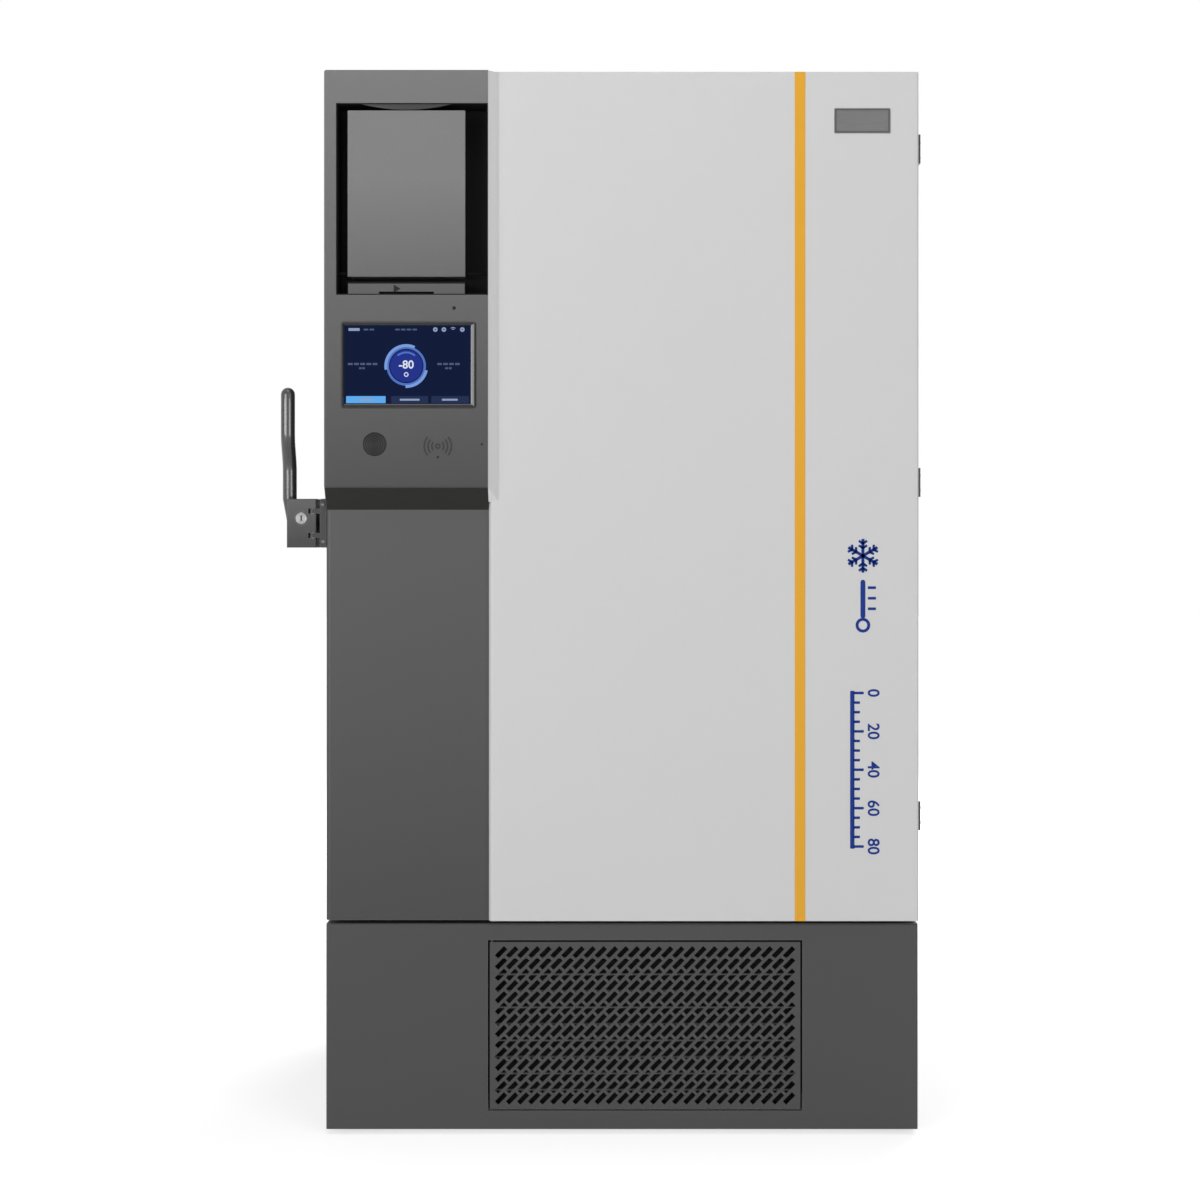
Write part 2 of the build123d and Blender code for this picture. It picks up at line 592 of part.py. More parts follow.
def console_front():
    """Moulded upper column: niche frame, console front, sloped underside and its openings."""
    screen_top = NICHE_BOTTOM - SCREEN_DROP
    with BuildPart() as moulding:
        with BuildSketch(Plane.YZ.offset(LEFT)) as side:
            with BuildLine():
                Polyline(
                    (CONSOLE_Y, HEIGHT),
                    (DOOR_BACK, HEIGHT),
                    (DOOR_BACK, CHAMFER_BOTTOM),
                    (COLUMN_Y, CHAMFER_BOTTOM),
                    (CONSOLE_Y, CONSOLE_BOTTOM),
                    close=True,
                )
            make_face()
            fillet(side.vertices().group_by(Axis.X)[0], EDGE_ROUND)
        extrude(amount=COLUMN_WIDTH)
        left_front = moulding.edges().filter_by(Axis.Z).sort_by(Axis.Y)[0:2].sort_by(Axis.X)[0]
        fillet(left_front, EDGE_ROUND)
        with BuildSketch(Plane.YZ.offset(LEFT + TRIM)):
            with BuildLine():
                Polyline(
                    (CONSOLE_Y + TRIM, HEIGHT - TRIM),
                    (DOOR_BACK, HEIGHT - TRIM),
                    (DOOR_BACK, CHAMFER_BOTTOM),
                    (COLUMN_Y + TRIM, CHAMFER_BOTTOM),
                    (CONSOLE_Y + TRIM, CONSOLE_BOTTOM + TRIM),
                    close=True,
                )
            make_face()
        extrude(amount=COLUMN_WIDTH - 2 * TRIM, mode=Mode.SUBTRACT)
        block((SPLIT - TRIM, COLUMN_Y, CHAMFER_BOTTOM), (SPLIT, DOOR_BACK, HEIGHT - TRIM), Mode.SUBTRACT)
        block((NICHE_LEFT, CONSOLE_Y, NICHE_BOTTOM), (SPLIT, DOOR_BACK, NICHE_TOP), Mode.SUBTRACT)
        with BuildSketch(front_plane(CONSOLE_Y)) as windows:
            rect((LEFT + SCREEN_LEFT, screen_top - SCREEN_HEIGHT), (SPLIT - SCREEN_RIGHT, screen_top))
            fillet(windows.vertices(), SCREEN_ROUND)
            with Locations((LEFT + READER_LEFT, NICHE_BOTTOM - READER_DROP)):
                Circle(READER_RADIUS + SEAT)
            with Locations((LEFT + SENSOR_LEFT, NICHE_BOTTOM - SENSOR_DROP)):
                Circle(SENSOR_RADIUS)
        extrude(amount=-2 * TRIM, mode=Mode.SUBTRACT)
        with BuildSketch(front_plane(CONSOLE_Y)) as bezel:
            rect(
                (LEFT + SCREEN_LEFT - BEZEL, screen_top - SCREEN_HEIGHT - BEZEL),
                (SPLIT - SCREEN_RIGHT + BEZEL, screen_top + BEZEL),
            )
            fillet(bezel.vertices(), SCREEN_ROUND + BEZEL)
        extrude(amount=-GLASS_SINK, taper=BEZEL_SLOPE, mode=Mode.SUBTRACT)
    keep(moulding.part, "console_moulding")

    left, right = LEFT + SCREEN_LEFT, SPLIT - SCREEN_RIGHT
    low, high = screen_top - SCREEN_HEIGHT, screen_top
    with BuildPart() as glass:
        with BuildSketch(front_plane(CONSOLE_Y + GLASS_SINK)) as outline:
            rect((left + SEAT, low + SEAT), (right - SEAT, high - SEAT))
            fillet(outline.vertices(), SCREEN_ROUND)
        extrude(amount=GLASS_SINK - TRIM)
    keep(glass.part, "touch_glass")

    lap = MODULE_LAP
    with BuildPart() as module:
        with BuildSketch(front_plane(CONSOLE_Y + TRIM)):
            rect((left - lap, low - lap), (right + lap, high + lap))
        extrude(amount=-MODULE_DEPTH)
        chamfer(module.faces().sort_by(Axis.Y)[-1].edges(), EDGE_ROUND)
    module_back = CONSOLE_Y + TRIM + MODULE_DEPTH
    spread = ((right - left) / 2, (high - low) / 2)
    with BuildPart() as board:
        with BuildSketch(front_plane(module_back + BOARD_STANDOFF)):
            rect((left + lap, low + lap), (right - lap, high - lap))
        extrude(amount=-BOARD_SHEET)
        with BuildSketch(front_plane(module_back)):
            with Locations(((left + right) / 2, (low + high) / 2)):
                with GridLocations(*spread, 2, 2):
                    Circle(BOARD_SHEET * 2)
        extrude(amount=-BOARD_STANDOFF)
        with BuildSketch(front_plane(module_back + BOARD_STANDOFF + BOARD_SHEET)):
            with Locations(((left + right) / 2, (low + high) / 2)):
                with GridLocations(*spread, 2, 2):
                    Rectangle(spread[0] / 3, spread[1] / 3)
        extrude(amount=-BOARD_STANDOFF)
    keep(Compound(children=[module.part, board.part]), "display_module")

    with BuildPart() as reader:
        with BuildSketch(front_plane(CONSOLE_Y + SEAT)):
            with Locations((LEFT + READER_LEFT, NICHE_BOTTOM - READER_DROP)):
                Circle(READER_RADIUS)
        extrude(amount=-TRIM)
        fillet(reader.edges().sort_by(Axis.Y)[0], SENSOR_RADIUS / 5)
    keep(reader.part, "reader_pad")


def niche_and_bin():
    """Pocket with a ledge and a finger lip, and the bin that tilts in it on two side pins."""
    right = SPLIT - NICHE_SHEET
    inner_left = NICHE_LEFT + NICHE_SHEET
    left, bin_right = LEFT + BIN_LEFT, SPLIT - BIN_RIGHT
    face = CONSOLE_Y + BIN_SETBACK
    ledge_top = NICHE_BOTTOM + LEDGE_HEIGHT
    low, high = ledge_top + LEDGE_GAP, NICHE_TOP - BIN_TOP_GAP
    middle = (left + bin_right) / 2
    with BuildPart() as niche:
        block((NICHE_LEFT, CONSOLE_Y, NICHE_BOTTOM), (SPLIT, NICHE_BACK, NICHE_TOP))
        block(
            (inner_left, CONSOLE_Y, NICHE_BOTTOM + NICHE_SHEET),
            (right, NICHE_BACK - NICHE_SHEET, NICHE_TOP - NICHE_SHEET),
            Mode.SUBTRACT,
        )
        with BuildSketch(Plane.YZ.offset(left)) as side:
            rect((face, NICHE_BOTTOM), (NICHE_BACK, ledge_top))
            fillet(side.vertices().group_by(Axis.X)[0].sort_by(Axis.Y)[-1], EDGE_ROUND)
        extrude(amount=bin_right - left)
        with BuildSketch(front_plane(face)):
            with Locations((middle, NICHE_BOTTOM + NICHE_SHEET + EDGE_ROUND / 2)):
                Rectangle((bin_right - left) / 2, EDGE_ROUND)
        extrude(amount=-BIN_DEPTH / 3, mode=Mode.SUBTRACT)
        with BuildSketch(front_plane(face)):
            with BuildLine():
                lip_left = (middle - LIP_WIDTH / 2, NICHE_TOP - CLEAR)
                lip_right = (middle + LIP_WIDTH / 2, NICHE_TOP - CLEAR)
                ThreePointArc(lip_left, (middle, NICHE_TOP - LIP_DROP), lip_right)
                Line(lip_right, lip_left)
            make_face()
        extrude(amount=-NICHE_SHEET)
    keep(niche.part, "niche_liner")

    pivot = (face + BIN_SHEET + 2 * BIN_PIN_RADIUS, low + 2 * BIN_PIN_RADIUS)
    tub_left, tub_right = left + BIN_SHEET, bin_right - BIN_SHEET
    with BuildPart() as bin_part:
        with BuildSketch(front_plane(face)):
            rect((left, low), (bin_right, high))
        extrude(amount=-BIN_SHEET)
        block((tub_left, face, low), (tub_right, face + BIN_DEPTH, high - TUB_DROP))
        block(
            (tub_left + BIN_SHEET, face + BIN_SHEET, low + 5 * BIN_SHEET),
            (tub_right - BIN_SHEET, face + BIN_DEPTH - BIN_SHEET, high - TUB_DROP),
            Mode.SUBTRACT,
        )
        with BuildSketch(Plane.YZ.offset(left)):
            with Locations(pivot):
                Circle(BIN_PIN_RADIUS + RUN)
        extrude(amount=bin_right - left, mode=Mode.SUBTRACT)
    keep(bin_part.part, "document_bin")

    grip = 4 * BIN_PIN_RADIUS
    with BuildPart() as pins:
        for start, stop in ((inner_left, tub_left + grip), (tub_right - grip, right)):
            with BuildSketch(Plane.YZ.offset(start)):
                with Locations(pivot):
                    Circle(BIN_PIN_RADIUS)
            extrude(amount=stop - start)
    keep(pins.part, "bin_pivot_pins")


def door_trim():
    """Accent strip and bare badge plate on the light panel."""
    strip_edge = LEFT + STRIP_LEFT - STRIP_WIDTH / 2
    badge_spot = (LEFT + BADGE_LEFT + BADGE_WIDTH / 2, HEIGHT - BADGE_DROP - BADGE_HEIGHT / 2)
    with BuildPart() as strip:
        with BuildSketch(front_plane(PANEL_Y)):
            rect((strip_edge, DOOR_BOTTOM), (strip_edge + STRIP_WIDTH, HEIGHT))
        extrude(amount=STRIP_SHEET)
    keep(strip.part, "accent_strip")

    with BuildPart() as badge:
        with BuildSketch(front_plane(PANEL_Y)):
            with Locations(badge_spot):
                RectangleRounded(BADGE_WIDTH, BADGE_HEIGHT, EDGE_ROUND / 2)
        extrude(amount=BADGE_SHEET)
        chamfer(badge.faces().sort_by(Axis.Y)[0].edges(), BADGE_SHEET / 3)
    keep(badge.part, "badge_plate")


def hinge_leaf(way):
    """Plan of one hinge half: a barrel and a leaf, way -1 towards the door and +1 to the cabinet."""
    with Locations((HINGE_X, HINGE_Y)):
        Circle(HINGE_BARREL)
    ends = sorted((HINGE_Y, HINGE_Y + way * HINGE_LENGTH))
    rect((RIGHT, ends[0]), (RIGHT + HINGE_LEAF, ends[1]))


def door_hinges():
    """Three lift-off hinges: the door halves sit on the pins of the cabinet halves."""
    half = HINGE_HEIGHT / 2
    with BuildPart() as upper:
        for level in HINGE_LEVELS:
            with BuildSketch(Plane.XY.offset(level + SEAT)):
                hinge_leaf(-1)
                with Locations((HINGE_X, HINGE_Y)):
                    Circle(HINGE_PIN + RUN, mode=Mode.SUBTRACT)
            extrude(amount=half - SEAT)
    keep(upper.part, "hinge_door_halves")

    with BuildPart() as lower:
        for level in HINGE_LEVELS:
            with BuildSketch(Plane.XY.offset(level - half)):
                hinge_leaf(1)
            extrude(amount=half)
            with BuildSketch(Plane.XY.offset(level)):
                with Locations((HINGE_X, HINGE_Y)):
                    Circle(HINGE_PIN)
            extrude(amount=half)
    keep(lower.part, "hinge_cabinet_halves")


def lever_tail(grow, mode=Mode.ADD):
    """Tapered tail by which the lever is let into the block, grown for the groove."""
    with Locations((LEVER_X, LEVER_Y, HANDLE_TOP - LEVER_TAIL / 2)):
        Cone(LEVER_TIP + grow, LEVER_RADIUS + grow, LEVER_TAIL, mode=mode)


def lever_handle():
    """Pull handle: base on the door side, pivoting block, bent lever, latch pawl and key lock."""
    ear = PIVOT_RADIUS * 2
    with BuildPart() as base:
        block((LEFT - HANDLE_BASE, HANDLE_Y, HANDLE_BOTTOM), (LEFT, HANDLE_Y + HANDLE_DEPTH, HANDLE_TOP))
        outer = base.faces().sort_by(Axis.X)[0].edges()
        chamfer(outer.filter_by(Axis.Y), EDGE_ROUND / 2)
        for level in EAR_LEVELS:
            with BuildSketch(Plane.XY.offset(level)):
                with Locations((PIVOT_X, PIVOT_Y)):
                    Circle(ear)
                rect((PIVOT_X, PIVOT_Y - ear), (LEFT - HANDLE_BASE + CLEAR, PIVOT_Y + ear))
                with Locations((PIVOT_X, PIVOT_Y)):
                    Circle(PIVOT_RADIUS + RUN / 2, mode=Mode.SUBTRACT)
            extrude(amount=EAR_HEIGHT)
    keep(base.part, "handle_base")

    with BuildPart() as body:
        block((BLOCK_LEFT, HANDLE_Y, HANDLE_BOTTOM), (BLOCK_RIGHT, HANDLE_Y + HANDLE_DEPTH, HANDLE_TOP))
        fillet(body.faces().sort_by(Axis.Y)[0].edges(), EDGE_ROUND / 2)
        rear_uprights = body.edges().filter_by(Axis.Z).group_by(Axis.Y)[-1]
        fillet(rear_uprights.sort_by(Axis.X)[0], EDGE_ROUND * 2)
        for level in EAR_LEVELS:
            reach = ear + CLEAR
            block(
                (PIVOT_X - reach, HANDLE_Y - CLEAR, level - CLEAR),
                (BLOCK_RIGHT + CLEAR, PIVOT_Y + reach, level + EAR_HEIGHT + CLEAR),
                Mode.SUBTRACT,
            )
        with BuildSketch(Plane.XY.offset(HANDLE_BOTTOM)):
            with Locations((PIVOT_X, PIVOT_Y)):
                Circle(PIVOT_RADIUS + RUN)
        extrude(amount=HANDLE_HEIGHT, mode=Mode.SUBTRACT)
        with BuildSketch(front_plane(HANDLE_Y)):
            with Locations((LOCK_X, LOCK_Z)):
                Circle(LOCK_RADIUS + RUN)
        extrude(amount=-LOCK_DEPTH, mode=Mode.SUBTRACT)
        lever_tail(SEAT, Mode.SUBTRACT)
    keep(body.part, "handle_block")

    with BuildPart() as pin:
        with BuildSketch(Plane.XY.offset(HANDLE_BOTTOM)):
            with Locations((PIVOT_X, PIVOT_Y)):
                Circle(PIVOT_RADIUS)
        extrude(amount=HANDLE_HEIGHT)
    keep(pin.part, "handle_pivot_pin")

    top = HANDLE_TOP + LEVER_RISE - LEVER_RADIUS
    bend_low = HANDLE_TOP + LEVER_STRAIGHT
    bend_high = bend_low + LEVER_CRANK
    with BuildPart() as lever:
        with BuildLine() as path:
            FilletPolyline(
                (LEVER_X, LEVER_Y, HANDLE_TOP),
                (LEVER_X, LEVER_Y, bend_low),
                (LEVER_X, LEVER_Y - LEVER_LEAN, bend_high),
                (LEVER_X, LEVER_Y - LEVER_LEAN, top),
                radius=LEVER_RADIUS * 2,
            )
        with BuildSketch(Plane.XY.offset(HANDLE_TOP)):
            with Locations((LEVER_X, LEVER_Y)):
                Circle(LEVER_RADIUS)
        sweep(path=path.wires()[0])
        with Locations((LEVER_X, LEVER_Y - LEVER_LEAN, top)):
            Sphere(LEVER_RADIUS)
        lever_tail(0)
    keep(lever.part, "handle_lever")

    start, stop = HANDLE_Y + HANDLE_DEPTH, CABINET_FRONT + PAWL_OVERLAP
    near = LEFT - STRIKE_REACH - PAWL_WIDTH / 2
    middle = (HANDLE_TOP + HANDLE_BOTTOM) / 2
    with BuildPart() as pawl:
        with BuildSketch(Plane.XY.offset(middle - PAWL_HEIGHT / 2)) as plan:
            rect((near - PAWL_WIDTH, start), (near, stop))
            rect((near - PAWL_WIDTH, stop - PAWL_WIDTH), (LEFT - STRIKE_REACH - 2 * CLEAR, stop))
            rect((near - 2 * PAWL_WIDTH, start), (near, start + PAWL_WIDTH / 2))
            fillet(plan.vertices().group_by(Axis.Y)[-1], PAWL_WIDTH / 4)
        extrude(amount=PAWL_HEIGHT)
    keep(pawl.part, "latch_pawl")

    catch = stop - PAWL_WIDTH - 2 * CLEAR
    with BuildPart() as strike:
        with BuildSketch(Plane.XY.offset(middle - STRIKE_HEIGHT / 2)) as plan:
            rect((LEFT - FOOT_SHEET, CABINET_FRONT + FLANGE / 3), (LEFT, stop + FLANGE))
            rect((LEFT - STRIKE_REACH, CABINET_FRONT + FLANGE / 3), (LEFT, catch))
            fillet(plan.vertices().group_by(Axis.X)[0], PAWL_WIDTH / 4)
        extrude(amount=STRIKE_HEIGHT)
    keep(strike.part, "latch_strike")

    with BuildPart() as lock:
        with BuildSketch(front_plane(HANDLE_Y + LOCK_DEPTH - CLEAR)):
            with Locations((LOCK_X, LOCK_Z)):
                Circle(LOCK_RADIUS)
        extrude(amount=LOCK_DEPTH - CLEAR + LOCK_PROUD)
        chamfer(lock.edges().sort_by(Axis.Y)[0], LOCK_PROUD / 3)
        with BuildSketch(front_plane(HANDLE_Y - LOCK_PROUD)):
            with Locations((LOCK_X, LOCK_Z)):
                SlotOverall(LOCK_RADIUS, LOCK_PROUD, rotation=90)
        extrude(amount=-LOCK_DEPTH / 2, mode=Mode.SUBTRACT)
    keep(lock.part, "lock_barrel")


def grown(corner, amount, other):
    """Corner moved away from the opposite corner."""
    return tuple(c - amount if c < o else c + amount for c, o in zip(corner, other))


def base_cabinet():
    """Painted covers of the machine space and the pan that carries the machinery."""
    with BuildPart() as cover:
        block((LEFT, COLUMN_Y, SKIRT_GAP), (RIGHT, COLUMN_Y + COVER_RETURN, BASE_TOP))
        face_edges = cover.faces().sort_by(Axis.Y)[0].edges()
        fillet(face_edges.sort_by(Axis.Z)[1:], EDGE_ROUND)
        block(
            (LEFT + SKIN, COLUMN_Y + SKIN, SKIRT_GAP),
            (RIGHT - SKIN, COLUMN_Y + COVER_RETURN, BASE_TOP - SKIN),
            Mode.SUBTRACT,
        )
        block(
            (LEFT + SKIN, COLUMN_Y + SKIN, BASE_TOP - SKIN),
            (RIGHT - SKIN, CABINET_FRONT + COVER_RETURN, BASE_TOP),
        )
        with BuildSketch(front_plane(COLUMN_Y + SKIN)):
            rect(grown(GRILLE_LOW, SKIN, GRILLE_HIGH), grown(GRILLE_HIGH, SKIN, GRILLE_LOW))
        extrude(amount=-GRILLE_LIP)
        with BuildSketch(front_plane(COLUMN_Y)):
            rect(GRILLE_LOW, GRILLE_HIGH)
        extrude(amount=-GRILLE_LIP - SKIN, mode=Mode.SUBTRACT)
        with BuildSketch(Plane.XY.offset(SKIRT_GAP)):
            with Locations((GRILLE_PIN_X, GRILLE_PIN_Y)):
                Circle(GRILLE_PIN + RUN)
        extrude(amount=BASE_HEIGHT - 2 * SKIN, mode=Mode.SUBTRACT)
    keep(cover.part, "base_front_cover")

    side_front = COLUMN_Y + COVER_RETURN
    panel_set(
        [
            ((LEFT, side_front, SKIRT_GAP), (LEFT + SKIN, BACK_SHEET_Y, BASE_TOP)),
            ((RIGHT - SKIN, side_front, SKIRT_GAP), (RIGHT, BACK_SHEET_Y, BASE_TOP)),
        ],
        "base_side_panels",
    )

    inlet = (LEFT + INLET_INSET, BASE_TOP - INLET_INSET)
    with BuildPart() as rear:
        with BuildSketch(front_plane(REAR)):
            rect((LEFT, SKIRT_GAP), (RIGHT, BASE_TOP))
            with Locations((MIDDLE, (SKIRT_GAP + BASE_TOP) / 2)):
                with GridLocations(LOUVRE_WIDTH + LOUVRE_GAP, LOUVRE_PITCH, 2, LOUVRE_ROWS):
                    Rectangle(LOUVRE_WIDTH, LOUVRE_HEIGHT, mode=Mode.SUBTRACT)
            with Locations(inlet):
                Rectangle(INLET_WIDTH, INLET_HEIGHT, mode=Mode.SUBTRACT)
        extrude(amount=SKIN)
    keep(rear.part, "base_rear_panel")

    with BuildPart() as socket:
        with BuildSketch(front_plane(BACK_SHEET_Y)):
            with Locations(inlet):
                Rectangle(INLET_WIDTH + 2 * INLET_RIM, INLET_HEIGHT + 2 * INLET_RIM)
        extrude(amount=SKIN * 2)
        with BuildSketch(front_plane(BACK_SHEET_Y)):
            with Locations(inlet):
                Rectangle(INLET_WIDTH - SEAT, INLET_HEIGHT - SEAT)
        extrude(amount=-SKIN)
        with BuildSketch(front_plane(REAR)):
            with Locations(inlet):
                RectangleRounded(SOCKET_WIDTH, SOCKET_HEIGHT, SKIN)
        extrude(amount=SKIN * 2, mode=Mode.SUBTRACT)
        with BuildSketch(front_plane(BACK_SHEET_Y - SKIN)):
            with Locations(inlet):
                with GridLocations(SOCKET_PITCH, SKIN, 3, 1):
                    Rectangle(SKIN, SKIN * 3)
        extrude(amount=-SKIN)
    keep(socket.part, "power_inlet")

    with BuildPart() as pan:
        with BuildSketch(Plane.XY.offset(PAN_LEVEL)):
            rect((LEFT + SKIN, CONDENSER_Y), (RIGHT - SKIN, BACK_SHEET_Y))
        extrude(amount=PAN_SHEET)
    keep(pan.part, "base_pan")


def front_grille():
    """Hinged intake grille with rows of slanted slots, and the filter behind it."""
    seam = GRILLE_SEAM
    low = grown(GRILLE_LOW, -seam, GRILLE_HIGH)
    high = grown(GRILLE_HIGH, -seam, GRILLE_LOW)
    wide, tall = high[0] - low[0], high[1] - low[1]
    columns = int((wide - SLOT_LENGTH / 2) / SLOT_PITCH_X)
    rows = int((tall - SLOT_LENGTH / 2) / SLOT_PITCH_Z)
    with BuildPart() as grille:
        with BuildSketch(front_plane(COLUMN_Y)):
            rect(low, high)
        extrude(amount=-GRILLE_LIP)
        inside = GRILLE_PIN_INSET * 2
        with BuildSketch(front_plane(COLUMN_Y + GRILLE_SHEET)):
            rect(grown(low, -inside, high), grown(high, -inside, low))
        extrude(amount=GRILLE_SHEET - GRILLE_LIP, mode=Mode.SUBTRACT)
        with BuildSketch(front_plane(COLUMN_Y)):
            with Locations(GRILLE_MID):
                with GridLocations(SLOT_PITCH_X, SLOT_PITCH_Z, columns, rows):
                    Rectangle(SLOT_LENGTH, SLOT_WIDTH, rotation=SLOT_LEAN)
        extrude(amount=-GRILLE_SHEET, mode=Mode.SUBTRACT)
        with BuildSketch(Plane.XY.offset(GRILLE_LOW[1] - SKIN)):
            with Locations((GRILLE_PIN_X, GRILLE_PIN_Y)):
                Circle(GRILLE_PIN)
        extrude(amount=GRILLE_HIGH[1] - GRILLE_LOW[1] + 2 * SKIN)
    keep(grille.part, "base_grille")

    filter_y = COLUMN_Y + SKIN + GRILLE_LIP + CLEAR
    with BuildPart() as pad:
        with BuildSketch(front_plane(filter_y)):
            rect(GRILLE_LOW, GRILLE_HIGH)
        extrude(amount=-FILTER_DEPTH)
    keep(pad.part, "air_filter")


def condenser_set():
    """Finned condenser with the fan, its shroud and its motor behind it."""
    low, high = GRILLE_LOW[0], GRILLE_HIGH[0]
    top = GRILLE_HIGH[1]
    fin_pitch = (high - low) / (FIN_COUNT + 2)
    with BuildPart() as condenser:
        with BuildSketch(Plane.XY.offset(PAN_TOP)):
            rect((low, CONDENSER_Y), (high, SHROUD_Y))
            with Locations(((low + high) / 2, (CONDENSER_Y + SHROUD_Y) / 2)):
                with GridLocations(fin_pitch, CONDENSER_DEPTH - FIN_DEPTH, FIN_COUNT, 2):
                    Rectangle(FIN_SLOT, FIN_DEPTH, mode=Mode.SUBTRACT)
        extrude(amount=top - PAN_TOP)
    keep(condenser.part, "condenser")

    with BuildPart() as shroud:
        with BuildSketch(front_plane(SHROUD_Y)):
            rect((low, PAN_TOP), (high, top))
            with Locations((MIDDLE, FAN_Z)):
                Circle(FAN_RADIUS + SHROUD_SHEET, mode=Mode.SUBTRACT)
        extrude(amount=-SHROUD_SHEET)
        with BuildSketch(front_plane(SHROUD_Y)):
            with Locations((MIDDLE, FAN_Z)):
                Circle(FAN_RADIUS + 2 * SHROUD_SHEET)
                Circle(FAN_RADIUS + SHROUD_SHEET, mode=Mode.SUBTRACT)
        extrude(amount=-SHROUD_DEPTH)
    keep(shroud.part, "fan_shroud")

    motor_y = SHROUD_Y + SHROUD_DEPTH
    shaft = FAN_DEPTH + SHROUD_SHEET
    with BuildPart() as motor:
        with BuildSketch(front_plane(motor_y)):
            with Locations((MIDDLE, FAN_Z)):
                Circle(MOTOR_RADIUS)
        extrude(amount=-MOTOR_DEPTH)
        fillet(motor.edges().sort_by(Axis.Y)[-1], EDGE_ROUND * 2)
        with BuildSketch(front_plane(motor_y)):
            with Locations((MIDDLE, FAN_Z)):
                Rectangle(2 * FAN_RADIUS + 4 * SHROUD_SHEET, MOTOR_RADIUS / 2)
                Rectangle(MOTOR_RADIUS / 2, 2 * FAN_RADIUS + 4 * SHROUD_SHEET)
        extrude(amount=-SHROUD_SHEET)
        with BuildSketch(front_plane(motor_y)):
            with Locations((MIDDLE, FAN_Z)):
                Circle(SHAFT_RADIUS)
        extrude(amount=shaft)
    keep(motor.part, "fan_motor")

    rotor_y = motor_y - SHROUD_SHEET
    blade = FAN_RADIUS - FAN_HUB
    with BuildPart() as rotor:
        with BuildSketch(front_plane(rotor_y)):
            with Locations((MIDDLE, FAN_Z)):
                Circle(FAN_HUB)
        extrude(amount=FAN_DEPTH)
        hub = Plane(origin=(MIDDLE, rotor_y - FAN_DEPTH / 2, FAN_Z), x_dir=(1, 0, 0), z_dir=(0, -1, 0))
        with Locations(hub):
            with PolarLocations(FAN_HUB + blade / 2 - BLADE_SHEET, FAN_BLADES):
                Box(blade, blade / 2, BLADE_SHEET, rotation=(BLADE_PITCH, 0, 0))
        with BuildSketch(front_plane(rotor_y)):
            with Locations((MIDDLE, FAN_Z)):
                Circle(SHAFT_RADIUS + RUN)
        extrude(amount=FAN_DEPTH, mode=Mode.SUBTRACT)
    keep(rotor.part, "fan_rotor")


def compressor(x, way):
    """Hermetic compressor on a foot plate, with one pipe stub towards its side."""
    foot_z = PAN_TOP + MOUNT_HEIGHT
    body_z = foot_z + FOOT_SHEET
    with BuildPart() as unit:
        with BuildSketch(Plane.XY.offset(foot_z)):
            with Locations((x, MACHINE_Y)):
                RectangleRounded(COMPRESSOR_FOOT, COMPRESSOR_FOOT, MOUNT_RADIUS)
        extrude(amount=FOOT_SHEET)
        with BuildSketch(Plane.XY.offset(body_z)):
            with Locations((x, MACHINE_Y)):
                Circle(COMPRESSOR_RADIUS)
        extrude(amount=COMPRESSOR_WALL + COMPRESSOR_DOME)
        fillet(unit.edges().sort_by(Axis.Z)[-1], COMPRESSOR_DOME)
        with BuildSketch(Plane.YZ.offset(x + way * (COMPRESSOR_RADIUS - EDGE_ROUND))):
            with Locations((MACHINE_Y, body_z + COMPRESSOR_WALL - 2 * TUBE_RADIUS)):
                Circle(TUBE_RADIUS)
        extrude(amount=way * (STUB_LENGTH + EDGE_ROUND))
    return unit.part


